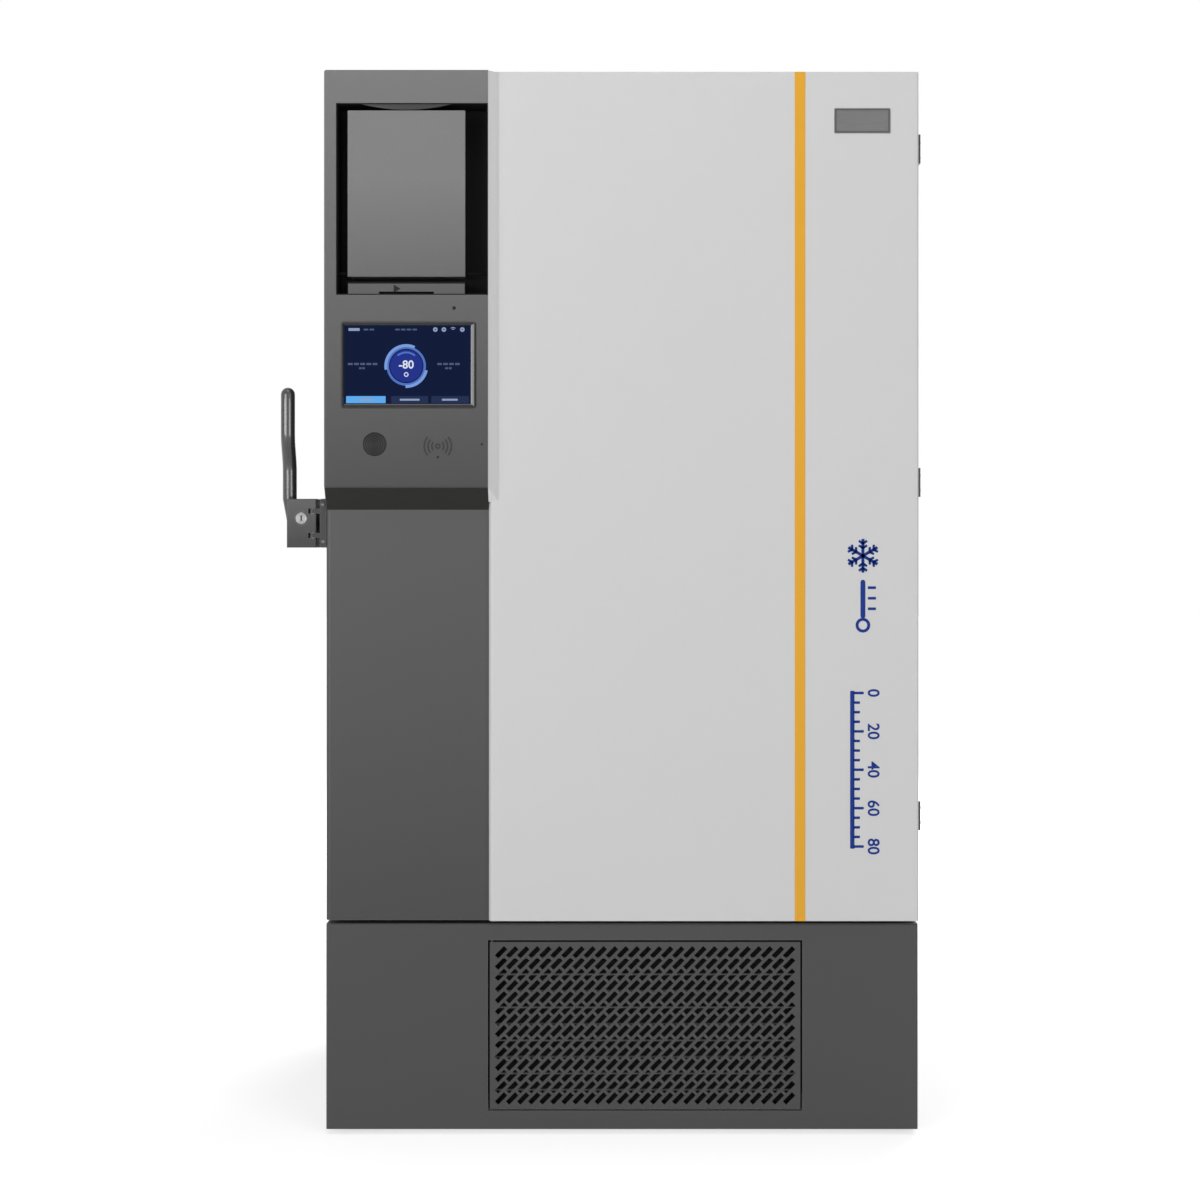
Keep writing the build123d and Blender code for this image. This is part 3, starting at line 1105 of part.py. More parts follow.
def machinery():
    """Two compressors on rubber mounts, heat exchanger, drier, pipes and the electrical box."""
    x_low, x_high = LEFT + COMPRESSOR_INSET, RIGHT - COMPRESSOR_INSET
    keep(Compound(children=[compressor(x_low, -1), compressor(x_high, 1)]), "compressors")
    spread = COMPRESSOR_FOOT - 2 * MOUNT_RADIUS
    with BuildPart() as mounts:
        with BuildSketch(Plane.XY.offset(PAN_TOP)):
            for x in (x_low, x_high):
                with Locations((x, MACHINE_Y)):
                    with GridLocations(spread, spread, 2, 2):
                        Circle(MOUNT_RADIUS)
        extrude(amount=MOUNT_HEIGHT)
    keep(mounts.part, "compressor_mounts")

    with BuildPart() as exchanger:
        with BuildSketch(Plane.XY.offset(PAN_TOP)):
            with Locations((MIDDLE, EXCHANGER_Y)):
                RectangleRounded(EXCHANGER, EXCHANGER_DEPTH, EDGE_ROUND * 2)
        extrude(amount=EXCHANGER_HEIGHT)
    keep(exchanger.part, "heat_exchanger")

    drier_low = PAN_TOP + EXCHANGER_HEIGHT
    neck = (BASE_TOP - drier_low) * DRIER_NECK
    cone = (BASE_TOP - drier_low) * DRIER_CONE
    with BuildPart() as drier:
        with BuildSketch(front_plane(EXCHANGER_Y)):
            with BuildLine():
                Polyline(
                    (MIDDLE, drier_low),
                    (MIDDLE + TUBE_RADIUS, drier_low),
                    (MIDDLE + TUBE_RADIUS, drier_low + neck),
                    (MIDDLE + DRIER_RADIUS, drier_low + neck + cone),
                    (MIDDLE + DRIER_RADIUS, BASE_TOP - neck - cone),
                    (MIDDLE + TUBE_RADIUS, BASE_TOP - neck),
                    (MIDDLE + TUBE_RADIUS, BASE_TOP),
                    (MIDDLE, BASE_TOP),
                    close=True,
                )
            make_face()
        revolve(axis=Axis((MIDDLE, EXCHANGER_Y, 0), (0, 0, 1)))

    pipe_z = PAN_TOP + MOUNT_HEIGHT + FOOT_SHEET + COMPRESSOR_WALL - 2 * TUBE_RADIUS
    coil_y = (CONDENSER_Y + SHROUD_Y) / 2
    reach = COMPRESSOR_RADIUS + STUB_LENGTH
    far_left, far_right = x_low - reach - 2 * TUBE_BEND, x_high + reach + 2 * TUBE_BEND
    runs = [
        [
            (x_high + reach, MACHINE_Y),
            (far_right, MACHINE_Y),
            (far_right, coil_y),
            (GRILLE_HIGH[0], coil_y),
        ],
        [
            (x_low - reach, MACHINE_Y),
            (far_left, MACHINE_Y),
            (far_left, EXCHANGER_Y),
            (MIDDLE - EXCHANGER / 2, EXCHANGER_Y),
        ],
    ]
    with BuildPart() as pipes:
        for run in runs:
            with BuildLine() as path:
                FilletPolyline(*[(x, y, pipe_z) for x, y in run], radius=TUBE_BEND)
            with BuildSketch(Plane.YZ.offset(run[0][0])):
                with Locations((MACHINE_Y, pipe_z)):
                    Circle(TUBE_RADIUS)
            sweep(path=path.wires()[0])
    keep(Compound(children=[pipes.part, drier.part]), "refrigerant_lines")

    box_left, box_right = LEFT + BOX_SIDE, GRILLE_LOW[0] - 2 * TUBE_BEND
    with BuildPart() as box:
        block(
            (box_left, CONDENSER_Y, PAN_TOP),
            (box_right, CONDENSER_Y + BOX_DEPTH, BASE_TOP - BOX_HEADROOM),
        )
        fillet(box.edges().filter_by(Axis.Z), EDGE_ROUND)
        top = box.faces().sort_by(Axis.Z)[-1]
        with BuildSketch(Plane(top.center(), z_dir=(0, 0, 1))):
            Rectangle(box_right - box_left - 2 * TRIM, BOX_DEPTH - 2 * TRIM)
        extrude(amount=TRIM)
    keep(box.part, "electrical_box")


def fork(x, y, top):
    """Caster fork under a level: crown, two legs and the axle, with the wheel trailing."""
    inside = WHEEL_WIDTH / 2 + 2 * CLEAR
    outside = inside + FORK_SHEET
    hub_y = y + CASTER_TRAIL
    leg_front, leg_back = hub_y - CASTER_TRAIL / 2, hub_y + CASTER_TRAIL / 2
    leg_low = WHEEL_Z - 2 * AXLE_RADIUS
    block((x - outside, y - CASTER_TRAIL, top - FORK_SHEET), (x + outside, leg_back, top))
    for a, b in ((-outside, -inside), (inside, outside)):
        block((x + a, leg_front, leg_low), (x + b, leg_back, top))
    with Locations((x, hub_y, WHEEL_Z)):
        Cylinder(AXLE_RADIUS, 2 * outside, rotation=(0, 90, 0))


def rolling_gear():
    """Two swivel casters in front, two fixed ones at the rear, and four levelling feet."""
    with BuildPart() as brackets:
        for x in CASTER_SIDES.values():
            fork(x, CASTER_REAR_Y, PAN_LEVEL)
            with BuildSketch(Plane.XY.offset(PAN_LEVEL - FORK_SHEET)):
                with Locations((x, CASTER_FRONT_Y)):
                    RectangleRounded(CASTER_PLATE, CASTER_PLATE, EDGE_ROUND)
                    Circle(STUD_RADIUS + RUN, mode=Mode.SUBTRACT)
            extrude(amount=FORK_SHEET)
    keep(brackets.part, "caster_brackets")

    for side, x in CASTER_SIDES.items():
        with BuildPart() as swivel:
            fork(x, CASTER_FRONT_Y, FORK_TOP)
            with BuildSketch(Plane.XY.offset(FORK_TOP)):
                with Locations((x, CASTER_FRONT_Y)):
                    Circle(STUD_RADIUS * 3)
            extrude(amount=FORK_SHEET - CLEAR)
            with BuildSketch(Plane.XY.offset(FORK_TOP)):
                with Locations((x, CASTER_FRONT_Y)):
                    Circle(STUD_RADIUS)
            extrude(amount=2 * FORK_SHEET - CLEAR)
        keep(swivel.part, f"caster_fork_{side}")

    for place, y in (("front", CASTER_FRONT_Y), ("rear", CASTER_REAR_Y)):
        for side, x in CASTER_SIDES.items():
            with BuildPart() as wheel:
                with BuildSketch(Plane.YZ.offset(x - WHEEL_WIDTH / 2)):
                    with Locations((y + CASTER_TRAIL, WHEEL_Z)):
                        Circle(WHEEL_RADIUS)
                        Circle(AXLE_RADIUS + RUN, mode=Mode.SUBTRACT)
                extrude(amount=WHEEL_WIDTH)
                rims = wheel.edges().filter_by(GeomType.CIRCLE).group_by(SortBy.RADIUS)[-1]
                chamfer(rims, EDGE_ROUND / 2)
            keep(wheel.part, f"caster_wheel_{place}_{side}")

    spots = [
        (x, y)
        for x in (LEFT + FOOT_INSET, RIGHT - FOOT_INSET)
        for y in (COLUMN_Y + FOOT_INSET, REAR - FOOT_INSET)
    ]
    with BuildPart() as feet:
        for x, y in spots:
            with BuildSketch(Plane.XY):
                with Locations((x, y)):
                    Circle(FOOT_RADIUS)
            extrude(amount=FOOT_PAD, taper=PLUG_TAPER * 3)
            with BuildSketch(Plane.XY.offset(FOOT_PAD)):
                with Locations((x, y)):
                    Circle(STUD_RADIUS)
            extrude(amount=PAN_LEVEL - FOOT_PAD)
            with BuildSketch(Plane.XY.offset(PAN_LEVEL - STUD_RADIUS)):
                with Locations((x, y)):
                    RegularPolygon(STUD_RADIUS * 2, 6)
            extrude(amount=STUD_RADIUS)
    keep(feet.part, "levelling_feet")


os.makedirs("parts", exist_ok=True)
cabinet_skins()
cabinet_lining()
evaporator()
shelf_set()
inner_doors()
probe_port()
door_skins()
door_filling()
console_front()
niche_and_bin()
door_trim()
door_hinges()
lever_handle()
base_cabinet()
front_grille()
condenser_set()
machinery()
rolling_gear()
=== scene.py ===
"""Studio scene of an upright ultra low temperature freezer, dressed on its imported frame."""

import logging
import math
from collections.abc import Callable, Iterator, Sequence
from contextlib import contextmanager
from dataclasses import dataclass, replace
from enum import Enum
from functools import cache, partial

import bmesh
import bpy
from mathutils import Matrix, Vector


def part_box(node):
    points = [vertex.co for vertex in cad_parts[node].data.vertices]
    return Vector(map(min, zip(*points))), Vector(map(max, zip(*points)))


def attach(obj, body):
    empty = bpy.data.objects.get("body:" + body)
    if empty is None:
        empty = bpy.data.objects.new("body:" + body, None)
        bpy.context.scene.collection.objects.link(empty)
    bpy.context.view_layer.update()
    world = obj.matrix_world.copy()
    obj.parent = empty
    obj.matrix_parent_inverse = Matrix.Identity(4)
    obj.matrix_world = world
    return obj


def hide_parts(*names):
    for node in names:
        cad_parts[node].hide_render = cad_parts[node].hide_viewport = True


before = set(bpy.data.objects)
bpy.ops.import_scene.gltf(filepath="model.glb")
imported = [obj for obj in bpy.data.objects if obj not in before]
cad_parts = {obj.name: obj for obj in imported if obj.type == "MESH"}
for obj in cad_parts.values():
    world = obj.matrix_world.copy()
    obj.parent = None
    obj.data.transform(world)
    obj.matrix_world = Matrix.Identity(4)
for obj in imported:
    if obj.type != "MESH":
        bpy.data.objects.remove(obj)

logging.basicConfig(level=logging.INFO, format="%(message)s")
LOG = logging.getLogger("freezer")

Piece = bpy.types.Object
Socket = bpy.types.NodeSocket
Tree = bpy.types.NodeTree
Point = tuple[float, float, float]
Spot = tuple[float, float]
Colour = tuple[float, float, float]

FRONT = Vector((0.0, -1.0, 0.0))
FACING = 0.9  # least part of a unit normal along an axis for a face that points that way
PARALLEL = 0.99  # least part of a unit edge along an axis for an edge that runs that way
TOUCH = 1e-5  # distance within which two places count as one
RELIEF_DEPTH = 0.001  # metres that a full step of relief stands for
WORN_WIDTH = 0.003  # radius of the rubbed part of an edge
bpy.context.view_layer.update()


def linear(level: int) -> float:
    """Linear value of a display level, 0 to 255."""
    share = level / 255
    return share / 12.92 if share <= 0.04045 else ((share + 0.055) / 1.055) ** 2.4


def srgb(red: int, green: int, blue: int) -> Colour:
    """Linear colour from display levels, 0 to 255."""
    return linear(red), linear(green), linear(blue)


def grey(level: int) -> Colour:
    """Linear colour of a neutral display grey."""
    return srgb(level, level, level)


def middle_of(node: str) -> Vector:
    """Centre of a frame node's box."""
    low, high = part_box(node)
    return (low + high) / 2


def across(offset: float) -> float:
    """X of a point that lies at an offset from the cabinet's middle plane."""
    return middle_of("cabinet_shell").x + offset


BARE_EDGE = (*grey(210), 1.0)
DUST_COLOUR = (*srgb(176, 170, 160), 1.0)


class Grain(Enum):
    """Fine relief of a finish; each one is a node group that materials share."""

    PEEL = "paint_peel"
    BRUSHED = "brushed_lines"
    PEBBLE = "moulded_pebble"
    SPANGLE = "zinc_spangle"
    RINGS = "turned_rings"
    WEAVE = "fine_mesh"


class Pick(Enum):
    """What a selection in edit mode works on."""

    FACE = "FACE"
    EDGE = "EDGE"


class Axis(Enum):
    """Main directions, as unit vectors."""

    X = (1.0, 0.0, 0.0)
    Y = (0.0, 1.0, 0.0)
    Z = (0.0, 0.0, 1.0)

    def vector(self) -> Vector:
        """The direction as a vector."""
        return Vector(self.value)


class Graph:
    """Short hand for adding and wiring the nodes of one tree."""

    def __init__(self, tree: Tree) -> None:
        """Work on the given tree."""
        self.tree = tree

    def wire(self, node: bpy.types.Node, sockets: dict) -> None:
        """Give a node's inputs their values.

        Args:
            node: Node of this tree.
            sockets: Values or source sockets, by input name or number.
        """
        for key, value in sockets.items():
            if isinstance(value, Socket):
                self.tree.links.new(value, node.inputs[key])
            else:
                node.inputs[key].default_value = value

    def add(self, kind: str, sockets: dict | None = None, **settings: object) -> bpy.types.Node:
        """Add a node.

        Args:
            kind: Blender's type name of the node.
            sockets: Values or source sockets for its inputs, by input name or number.
            settings: Attributes of the node itself.

        Returns:
            The new node.
        """
        node = self.tree.nodes.new(kind)
        for key, value in settings.items():
            setattr(node, key, value)
        self.wire(node, sockets or {})
        return node

    def math(self, operation: str, *terms: object) -> Socket:
        """Result of a new Math node."""
        return self.add("ShaderNodeMath", dict(enumerate(terms)), operation=operation).outputs[0]

    def vector(self, operation: str, sockets: dict, result: str = "Vector") -> Socket:
        """Vector or value from a new Vector Math node."""
        return self.add("ShaderNodeVectorMath", sockets, operation=operation).outputs[result]

    def split(self, vector: Socket) -> Sequence[Socket]:
        """X, Y and Z of a vector."""
        return self.add("ShaderNodeSeparateXYZ", {0: vector}).outputs

    def noise(self, place: Socket, scale: object, detail: float) -> Socket:
        """Value of a new Noise Texture."""
        sockets = {"Vector": place, "Scale": scale, "Detail": detail}
        return self.add("ShaderNodeTexNoise", sockets).outputs[0]

    def ramp(self, value: Socket, limits: Sequence[float]) -> Socket:
        """Value carried from one range to another, with a new Map Range node."""
        return self.add("ShaderNodeMapRange", {0: value, **dict(enumerate(limits, 1))}).outputs[0]

    def blend(self, share: object, first: object, second: object) -> Socket:
        """Result of a new colour mix."""
        sockets = {0: share, 6: first, 7: second}
        return self.add("ShaderNodeMix", sockets, data_type="RGBA").outputs[2]


class EffectGroups:
    """Node groups shared by the materials, each one built when it is first asked for."""

    INPUTS = (
        ("Vector", "NodeSocketVector"),
        ("Stretch", "NodeSocketVector"),
        ("Colour", "NodeSocketColor"),
        ("Scale", "NodeSocketFloat"),
        ("Tint", "NodeSocketFloat"),
        ("Roughness", "NodeSocketFloat"),
        ("Spread", "NodeSocketFloat"),
    )
    OUTPUTS = (
        ("Colour", "NodeSocketColor"),
        ("Roughness", "NodeSocketFloat"),
        ("Height", "NodeSocketFloat"),
    )
    DETAIL = {Grain.PEEL: 2.0, Grain.BRUSHED: 5.0}
    PEBBLE_MELT = 0.6
    CLOUDS = (2.6, 4.0)  # scale and detail of the slow shifts of colour
    WEAR_NOISE = (55.0, 6.0)
    WEAR_GAIN = 5.0
    DUST_NOISE = (9.0, 5.0)
    DUST_FACING = (0.5, 1.0)  # upward part of the normal where dust begins, and where it is full

    @staticmethod
    def start(name: str, inputs: Sequence, outputs: Sequence) -> tuple[Graph, dict]:
        """Make an empty group.

        Args:
            name: Name of the group.
            inputs: Names and socket types that go in.
            outputs: Names and socket types that come out.

        Returns:
            The group's graph, and its input sockets by name.
        """
        tree = bpy.data.node_groups.new(name, "ShaderNodeTree")
        for label, kind in inputs:
            tree.interface.new_socket(label, in_out="INPUT", socket_type=kind)
        for label, kind in outputs:
            tree.interface.new_socket(label, in_out="OUTPUT", socket_type=kind)
        graph = Graph(tree)
        source = graph.add("NodeGroupInput")
        return graph, {label: source.outputs[label] for label, _ in inputs}

    @classmethod
    @cache
    def grain(cls, kind: Grain) -> Tree:
        """Grain of a surface: colour shifts, roughness shifts and relief.

        Args:
            kind: Which relief the group draws.

        Returns:
            The group's tree.
        """
        graph, given = cls.start(kind.value, cls.INPUTS, cls.OUTPUTS)
        place = graph.vector("MULTIPLY", {0: given["Vector"], 1: given["Stretch"]})
        fine = cls.relief(graph, kind, place, given["Scale"])
        wide = graph.noise(given["Vector"], *cls.CLOUDS)
        shift = graph.math("ADD", graph.math("SUBTRACT", wide, 0.5), graph.math("SUBTRACT", fine, 0.5))
        factor = graph.math("MULTIPLY_ADD", shift, given["Tint"], 1.0)
        tinted = graph.vector("SCALE", {0: given["Colour"], "Scale": factor})
        rough = graph.math("MULTIPLY_ADD", shift, given["Spread"], given["Roughness"])
        graph.add("NodeGroupOutput", {"Colour": tinted, "Roughness": rough, "Height": fine})
        return graph.tree

    @classmethod
    def relief(cls, graph: Graph, kind: Grain, place: object, scale: object) -> Socket:
        """Value between 0 and 1 that draws one kind of relief.

        Args:
            graph: Graph of the group.
            kind: Which relief to draw.
            place: Socket with the coordinates.
            scale: Socket with the number of features per metre.

        Returns:
            Socket with the relief's height.
        """
        if kind in cls.DETAIL:
            return graph.noise(place, scale, cls.DETAIL[kind])
        if kind is Grain.PEBBLE:
            sockets = {"Vector": place, "Scale": scale, "Smoothness": cls.PEBBLE_MELT}
            node = graph.add("ShaderNodeTexVoronoi", sockets, feature="SMOOTH_F1")
            return node.outputs["Distance"]
        if kind is Grain.SPANGLE:
            cells = graph.add("ShaderNodeTexVoronoi", {"Vector": place, "Scale": scale})
            return graph.add("ShaderNodeSeparateColor", {0: cells.outputs["Color"]}).outputs[0]
        parts = graph.split(place)
        if kind is Grain.RINGS:
            flat = graph.add("ShaderNodeCombineXYZ", {0: parts[0], 2: parts[2]}).outputs[0]
            reach = graph.vector("LENGTH", {0: flat}, "Value")
            wave = graph.math("SINE", graph.math("MULTIPLY", reach, scale))
        else:
            weft = graph.math("SINE", graph.math("MULTIPLY", parts[0], scale))
            warp = graph.math("SINE", graph.math("MULTIPLY", parts[2], scale))
            wave = graph.math("MULTIPLY", weft, warp)
        return graph.math("MULTIPLY_ADD", wave, 0.5, 0.5)

    @classmethod
    @cache
    def edge_wear(cls) -> Tree:
        """Mask of rubbed edges, broken up by noise.

        Returns:
            The group's tree.
        """
        inputs = (("Vector", "NodeSocketVector"), ("Radius", "NodeSocketFloat"))
        graph, given = cls.start("rubbed_edges", inputs, (("Mask", "NodeSocketFloat"),))
        rounded = graph.add("ShaderNodeBevel", {"Radius": given["Radius"]}, samples=4).outputs[0]
        flat = graph.add("ShaderNodeNewGeometry").outputs["Normal"]
        dot = graph.vector("DOT_PRODUCT", {0: rounded, 1: flat}, "Value")
        edge = graph.math("MULTIPLY", graph.math("SUBTRACT", 1.0, dot), cls.WEAR_GAIN)
        noise = graph.noise(given["Vector"], *cls.WEAR_NOISE)
        mask = graph.add("ShaderNodeClamp", {0: graph.math("MULTIPLY", edge, noise)}).outputs[0]
        graph.add("NodeGroupOutput", {"Mask": mask})
        return graph.tree

    @classmethod
    @cache
    def dust(cls) -> Tree:
        """Mask of fine dust that settles on surfaces that face up.

        Returns:
            The group's tree.
        """
        inputs = (("Vector", "NodeSocketVector"), ("Amount", "NodeSocketFloat"))
        graph, given = cls.start("settled_dust", inputs, (("Mask", "NodeSocketFloat"),))
        normal = graph.add("ShaderNodeNewGeometry").outputs["Normal"]
        facing = graph.ramp(graph.split(normal)[2], cls.DUST_FACING)
        noise = graph.noise(given["Vector"], *cls.DUST_NOISE)
        mask = graph.math("MULTIPLY", graph.math("MULTIPLY", facing, noise), given["Amount"])
        graph.add("NodeGroupOutput", {"Mask": mask})
        return graph.tree


@dataclass(frozen=True)
class Fade:
    """Painted light and shade of a finish: its brightness at two heights, lighter where light falls more
    strongly on the part.
    """

    heights: Spot
    brightness: Spot


@dataclass(frozen=True)
class Finish:
    """One material: colour, gloss and the grain of its surface."""

    name: str
    colour: Colour
    roughness: float
    metallic: float = 0.0
    grain: Grain = Grain.PEBBLE
    scale: float = 700.0
    stretch: Point = (1.0, 1.0, 1.0)
    centre: Point = (0.0, 0.0, 0.0)
    tint: float = 0.06
    spread: float = 0.08
    bump: float = 0.05
    wear: float = 0.0
    dust: float = 0.0
    coat: float = 0.0
    specular: float = 0.5
    glow: float = 0.0
    # painted light and shade by height, not part of the material's own colour
    fade: Fade | None = None

    @cache
    def material(self) -> bpy.types.Material:
        """Build the material, once for each finish.

        Returns:
            The material.
        """
        made = bpy.data.materials.new(self.name)
        made.use_nodes = True
        graph = Graph(made.node_tree)
        place = self.coordinates(graph)
        values = {
            "Vector": place, "Stretch": self.stretch, "Colour": (*self.colour, 1.0),
            "Scale": self.scale, "Tint": self.tint, "Roughness": self.roughness, "Spread": self.spread,
        }
        grain = graph.add("ShaderNodeGroup", values, node_tree=EffectGroups.grain(self.grain)).outputs
        colour = self.weathered(graph, place, grain["Colour"])
        bump = {"Strength": self.bump, "Distance": RELIEF_DEPTH, "Height": grain["Height"]}
        skin = {
            "Roughness": grain["Roughness"], "Normal": graph.add("ShaderNodeBump", bump).outputs[0],
            "Metallic": self.metallic, "Coat Weight": self.coat, "Specular IOR Level": self.specular,
            "Base Color": colour,
        }
        if self.glow:
            skin["Base Color"] = (0.0, 0.0, 0.0, 1.0)
            skin |= {"Emission Strength": self.glow, "Emission Color": colour}
        graph.wire(made.node_tree.nodes["Principled BSDF"], skin)
        return made

    def coordinates(self, graph: Graph) -> Socket:
        """Object coordinates, moved to the pattern's centre.

        Args:
            graph: Graph of the material.

        Returns:
            Socket with the coordinates.
        """
        source = graph.add("ShaderNodeTexCoord").outputs["Object"]
        moved = tuple(-c for c in self.centre)
        return graph.add("ShaderNodeMapping", {"Vector": source, "Location": moved}).outputs[0]

    def weathered(self, graph: Graph, place: Socket, colour: Socket) -> Socket:
        """Lay painted light and shade by height, then rubbed edges and dust, over a colour.

        Args:
            graph: Graph of the material.
            place: Socket with the coordinates.
            colour: Socket with the plain colour.

        Returns:
            Socket with the finished colour.
        """
        # Painted light and shade: the colour is scaled by height, standing in for how light falls on the
        # part.
        if self.fade:
            share = graph.ramp(graph.split(place)[2], self.fade.heights + self.fade.brightness)
            colour = graph.vector("SCALE", {0: colour, "Scale": share})
        if self.wear:
            values = {"Vector": place, "Radius": WORN_WIDTH}
            worn = graph.add("ShaderNodeGroup", values, node_tree=EffectGroups.edge_wear()).outputs[0]
            colour = graph.blend(graph.math("MULTIPLY", worn, self.wear), colour, BARE_EDGE)
        if self.dust:
            values = {"Vector": place, "Amount": self.dust}
            dusty = graph.add("ShaderNodeGroup", values, node_tree=EffectGroups.dust()).outputs[0]
            colour = graph.blend(dusty, colour, DUST_COLOUR)
        return colour


painted = partial(Finish, grain=Grain.PEEL, specular=0.25)
lit = partial(Finish, roughness=0.3, grain=Grain.WEAVE, scale=4000.0, bump=0.0, specular=0.1)


class Palette:
    """The freezer's finishes."""

    LIGHT = painted("light_powder_coat", grey(206), 0.46, scale=420.0, tint=0.02, wear=0.15, dust=0.1)
    # Painted shadow and light: a pale wedge in place of the console's faint shadow, lighter than the panel
    # so the corner's shade does not show.
    EDGE = Finish("edge_strip_painted_shadow_band", grey(219), 0.5, scale=900.0, tint=0.02, bump=0.03, specular=0.25)
    BASE = painted("charcoal_powder_coat", grey(71), 0.52, scale=650.0, tint=0.05, bump=0.08,
                   wear=0.1, dust=0.08)
    GRILLE = replace(BASE, name="grille_charcoal_coat", colour=grey(70), wear=0.0, dust=0.0)
    # Painted shade: the column gets darker towards the bottom, where less light falls.
    COLUMN = painted("column_satin_coat", grey(84), 0.46, scale=520.0, tint=0.04, wear=0.1,
                     fade=Fade((0.39, 1.15), (0.62, 1.0)))
    # Painted light: the console is up to three times brighter towards its top, for the light that falls
    # there.
    CONSOLE = replace(COLUMN, name="console_satin_coat", colour=grey(69),
                      fade=Fade((1.19, 1.95), (1.0, 3.0)))
    # Painted shade: near-black sheet on the console's sloped underside, standing in for the shadow there.
    SLOPE = Finish("console_underside_painted_shade", srgb(38, 38, 36), 0.55, scale=900.0, bump=0.04, specular=0.2)
    # Painted shade: the niche's liner is near black, standing in for the deep shade inside the niche.
    NICHE = Finish("niche_painted_shade_black", grey(20), 0.6, scale=900.0, bump=0.08, specular=0.15)
    # Painted shade: the pins are near black and almost without reflection, so they read as the dark gap
    # line under the bin.
    PIN = Finish("pin_painted_gap_shade", grey(14), 0.8, scale=900.0, bump=0.03, specular=0.05)
    LIP = Finish("lip_satin_black", grey(34), 0.3, scale=900.0, bump=0.03)
    # Painted shade: the bin gets darker towards its bottom.
    BIN = painted("bin_smoke_grey", grey(123), 0.38, scale=160.0, tint=0.07, bump=0.02,
                  fade=Fade((1.54, 1.76), (0.60, 1.0)))
    LEDGE = replace(BIN, name="ledge_smoke_grey", colour=grey(90), fade=None)
    GLASS = Finish("display_navy_glass", srgb(10, 24, 58), 0.08, grain=Grain.WEAVE, scale=4000.0,
                   tint=0.08, spread=0.01, bump=0.0, specular=0.05, glow=0.9)
    BEZEL = Finish("bezel_gloss_black", grey(20), 0.16, scale=1500.0, spread=0.04, bump=0.005)
    MODULE = Finish("module_dark_resin", grey(40), 0.5, scale=900.0)
    READER = Finish("reader_turned_disc", grey(30), 0.4, grain=Grain.RINGS, scale=1500.0,
                    centre=tuple(middle_of("reader_pad")), tint=1.0, bump=0.3, specular=0.2)
    MARK = Finish("console_mark", grey(50), 0.5, scale=1500.0, specular=0.25)
    DOT = Finish("mark_black", grey(14), 0.4, scale=1500.0, specular=0.25)
    AMBER = painted("amber_strip", srgb(225, 164, 46), 0.4, scale=900.0, tint=0.03, bump=0.03)
    BADGE = Finish("badge_brushed_metal", grey(108), 0.36, metallic=0.5, grain=Grain.BRUSHED, scale=900.0,
                   stretch=(0.04, 1.0, 1.0), tint=0.3, bump=0.06)
    BADGE_RIM = Finish("badge_dark_rim", grey(84), 0.3, metallic=0.5, grain=Grain.BRUSHED, scale=900.0,
                       stretch=(0.1, 1.0, 1.0), tint=0.1)
    BLUE = Finish("marking_blue_ink", srgb(6, 46, 128), 0.46, grain=Grain.PEEL, scale=900.0,
                  tint=0.05, bump=0.02, specular=0.2)
    HANDLE = Finish("handle_cast_grey", grey(56), 0.42, metallic=0.2, scale=1500.0, bump=0.08, wear=0.12,
                    specular=0.3)
    # Painted sheen: the handle block and the lock ring are about twice as bright towards the top.
    BLOCK = replace(HANDLE, name="handle_block_painted_sheen", fade=Fade((1.092, 1.161), (1.0, 2.1)))
    LEVER = Finish("lever_black_gloss", grey(58), 0.26, metallic=0.3, scale=900.0, bump=0.01, coat=0.6)
    CHROME = Finish("lock_satin_chrome", grey(132), 0.3, metallic=1.0, grain=Grain.RINGS, scale=4200.0,
                    centre=tuple(middle_of("lock_barrel")), tint=0.4, bump=0.08)
    STEEL = Finish("machined_steel", grey(170), 0.32, metallic=0.9, grain=Grain.BRUSHED, scale=500.0,
                   stretch=(1.0, 1.0, 0.05), tint=0.12)
    HINGE = Finish("hinge_dark_steel", grey(60), 0.4, metallic=0.5, scale=1200.0, wear=0.3)
    STAINLESS = Finish("liner_stainless", grey(180), 0.42, metallic=0.8, grain=Grain.BRUSHED, scale=320.0,
                       stretch=(1.0, 1.0, 0.03), tint=0.1, bump=0.03)
    WHITE = Finish("moulded_white_resin", grey(226), 0.45, scale=800.0, tint=0.03)
    FRAME = Finish("frame_pale_plastic", grey(206), 0.5, scale=900.0, tint=0.03)
    FOAM = Finish("insulation_foam", srgb(226, 214, 178), 0.9, scale=260.0, tint=0.2, bump=0.5)
    COPPER = Finish("copper_tube", srgb(206, 140, 100), 0.3, metallic=0.95,
                    grain=Grain.PEEL, scale=90.0, tint=0.3)
    FINS = Finish("fin_stack_aluminium", grey(180), 0.38, metallic=0.9, grain=Grain.BRUSHED, scale=900.0,
                  stretch=(1.0, 1.0, 0.02), tint=0.2)
    ENAMEL = Finish("compressor_enamel", grey(34), 0.28, grain=Grain.PEEL, scale=260.0, coat=0.5)
    ZINC = Finish("zinc_plate", grey(160), 0.42, metallic=0.8, grain=Grain.SPANGLE, scale=130.0,
                  tint=0.18, bump=0.02)
    RUBBER = Finish("moulded_rubber", grey(44), 0.7, scale=1100.0, bump=0.1, dust=0.2)
    GASKET = Finish("gasket_soft_rubber", grey(58), 0.62, scale=1300.0, bump=0.06)
    FILTER = Finish("filter_mesh", grey(30), 0.8, grain=Grain.WEAVE, scale=2600.0, tint=0.6,
                    bump=0.4, specular=0.1)
    SLAT = Finish("filter_slat", grey(104), 0.55, scale=900.0)
    NYLON = Finish("wheel_tread_nylon", grey(52), 0.5, scale=900.0, dust=0.3)
    PLASTIC = Finish("dark_moulded_plastic", grey(42), 0.5, scale=900.0)


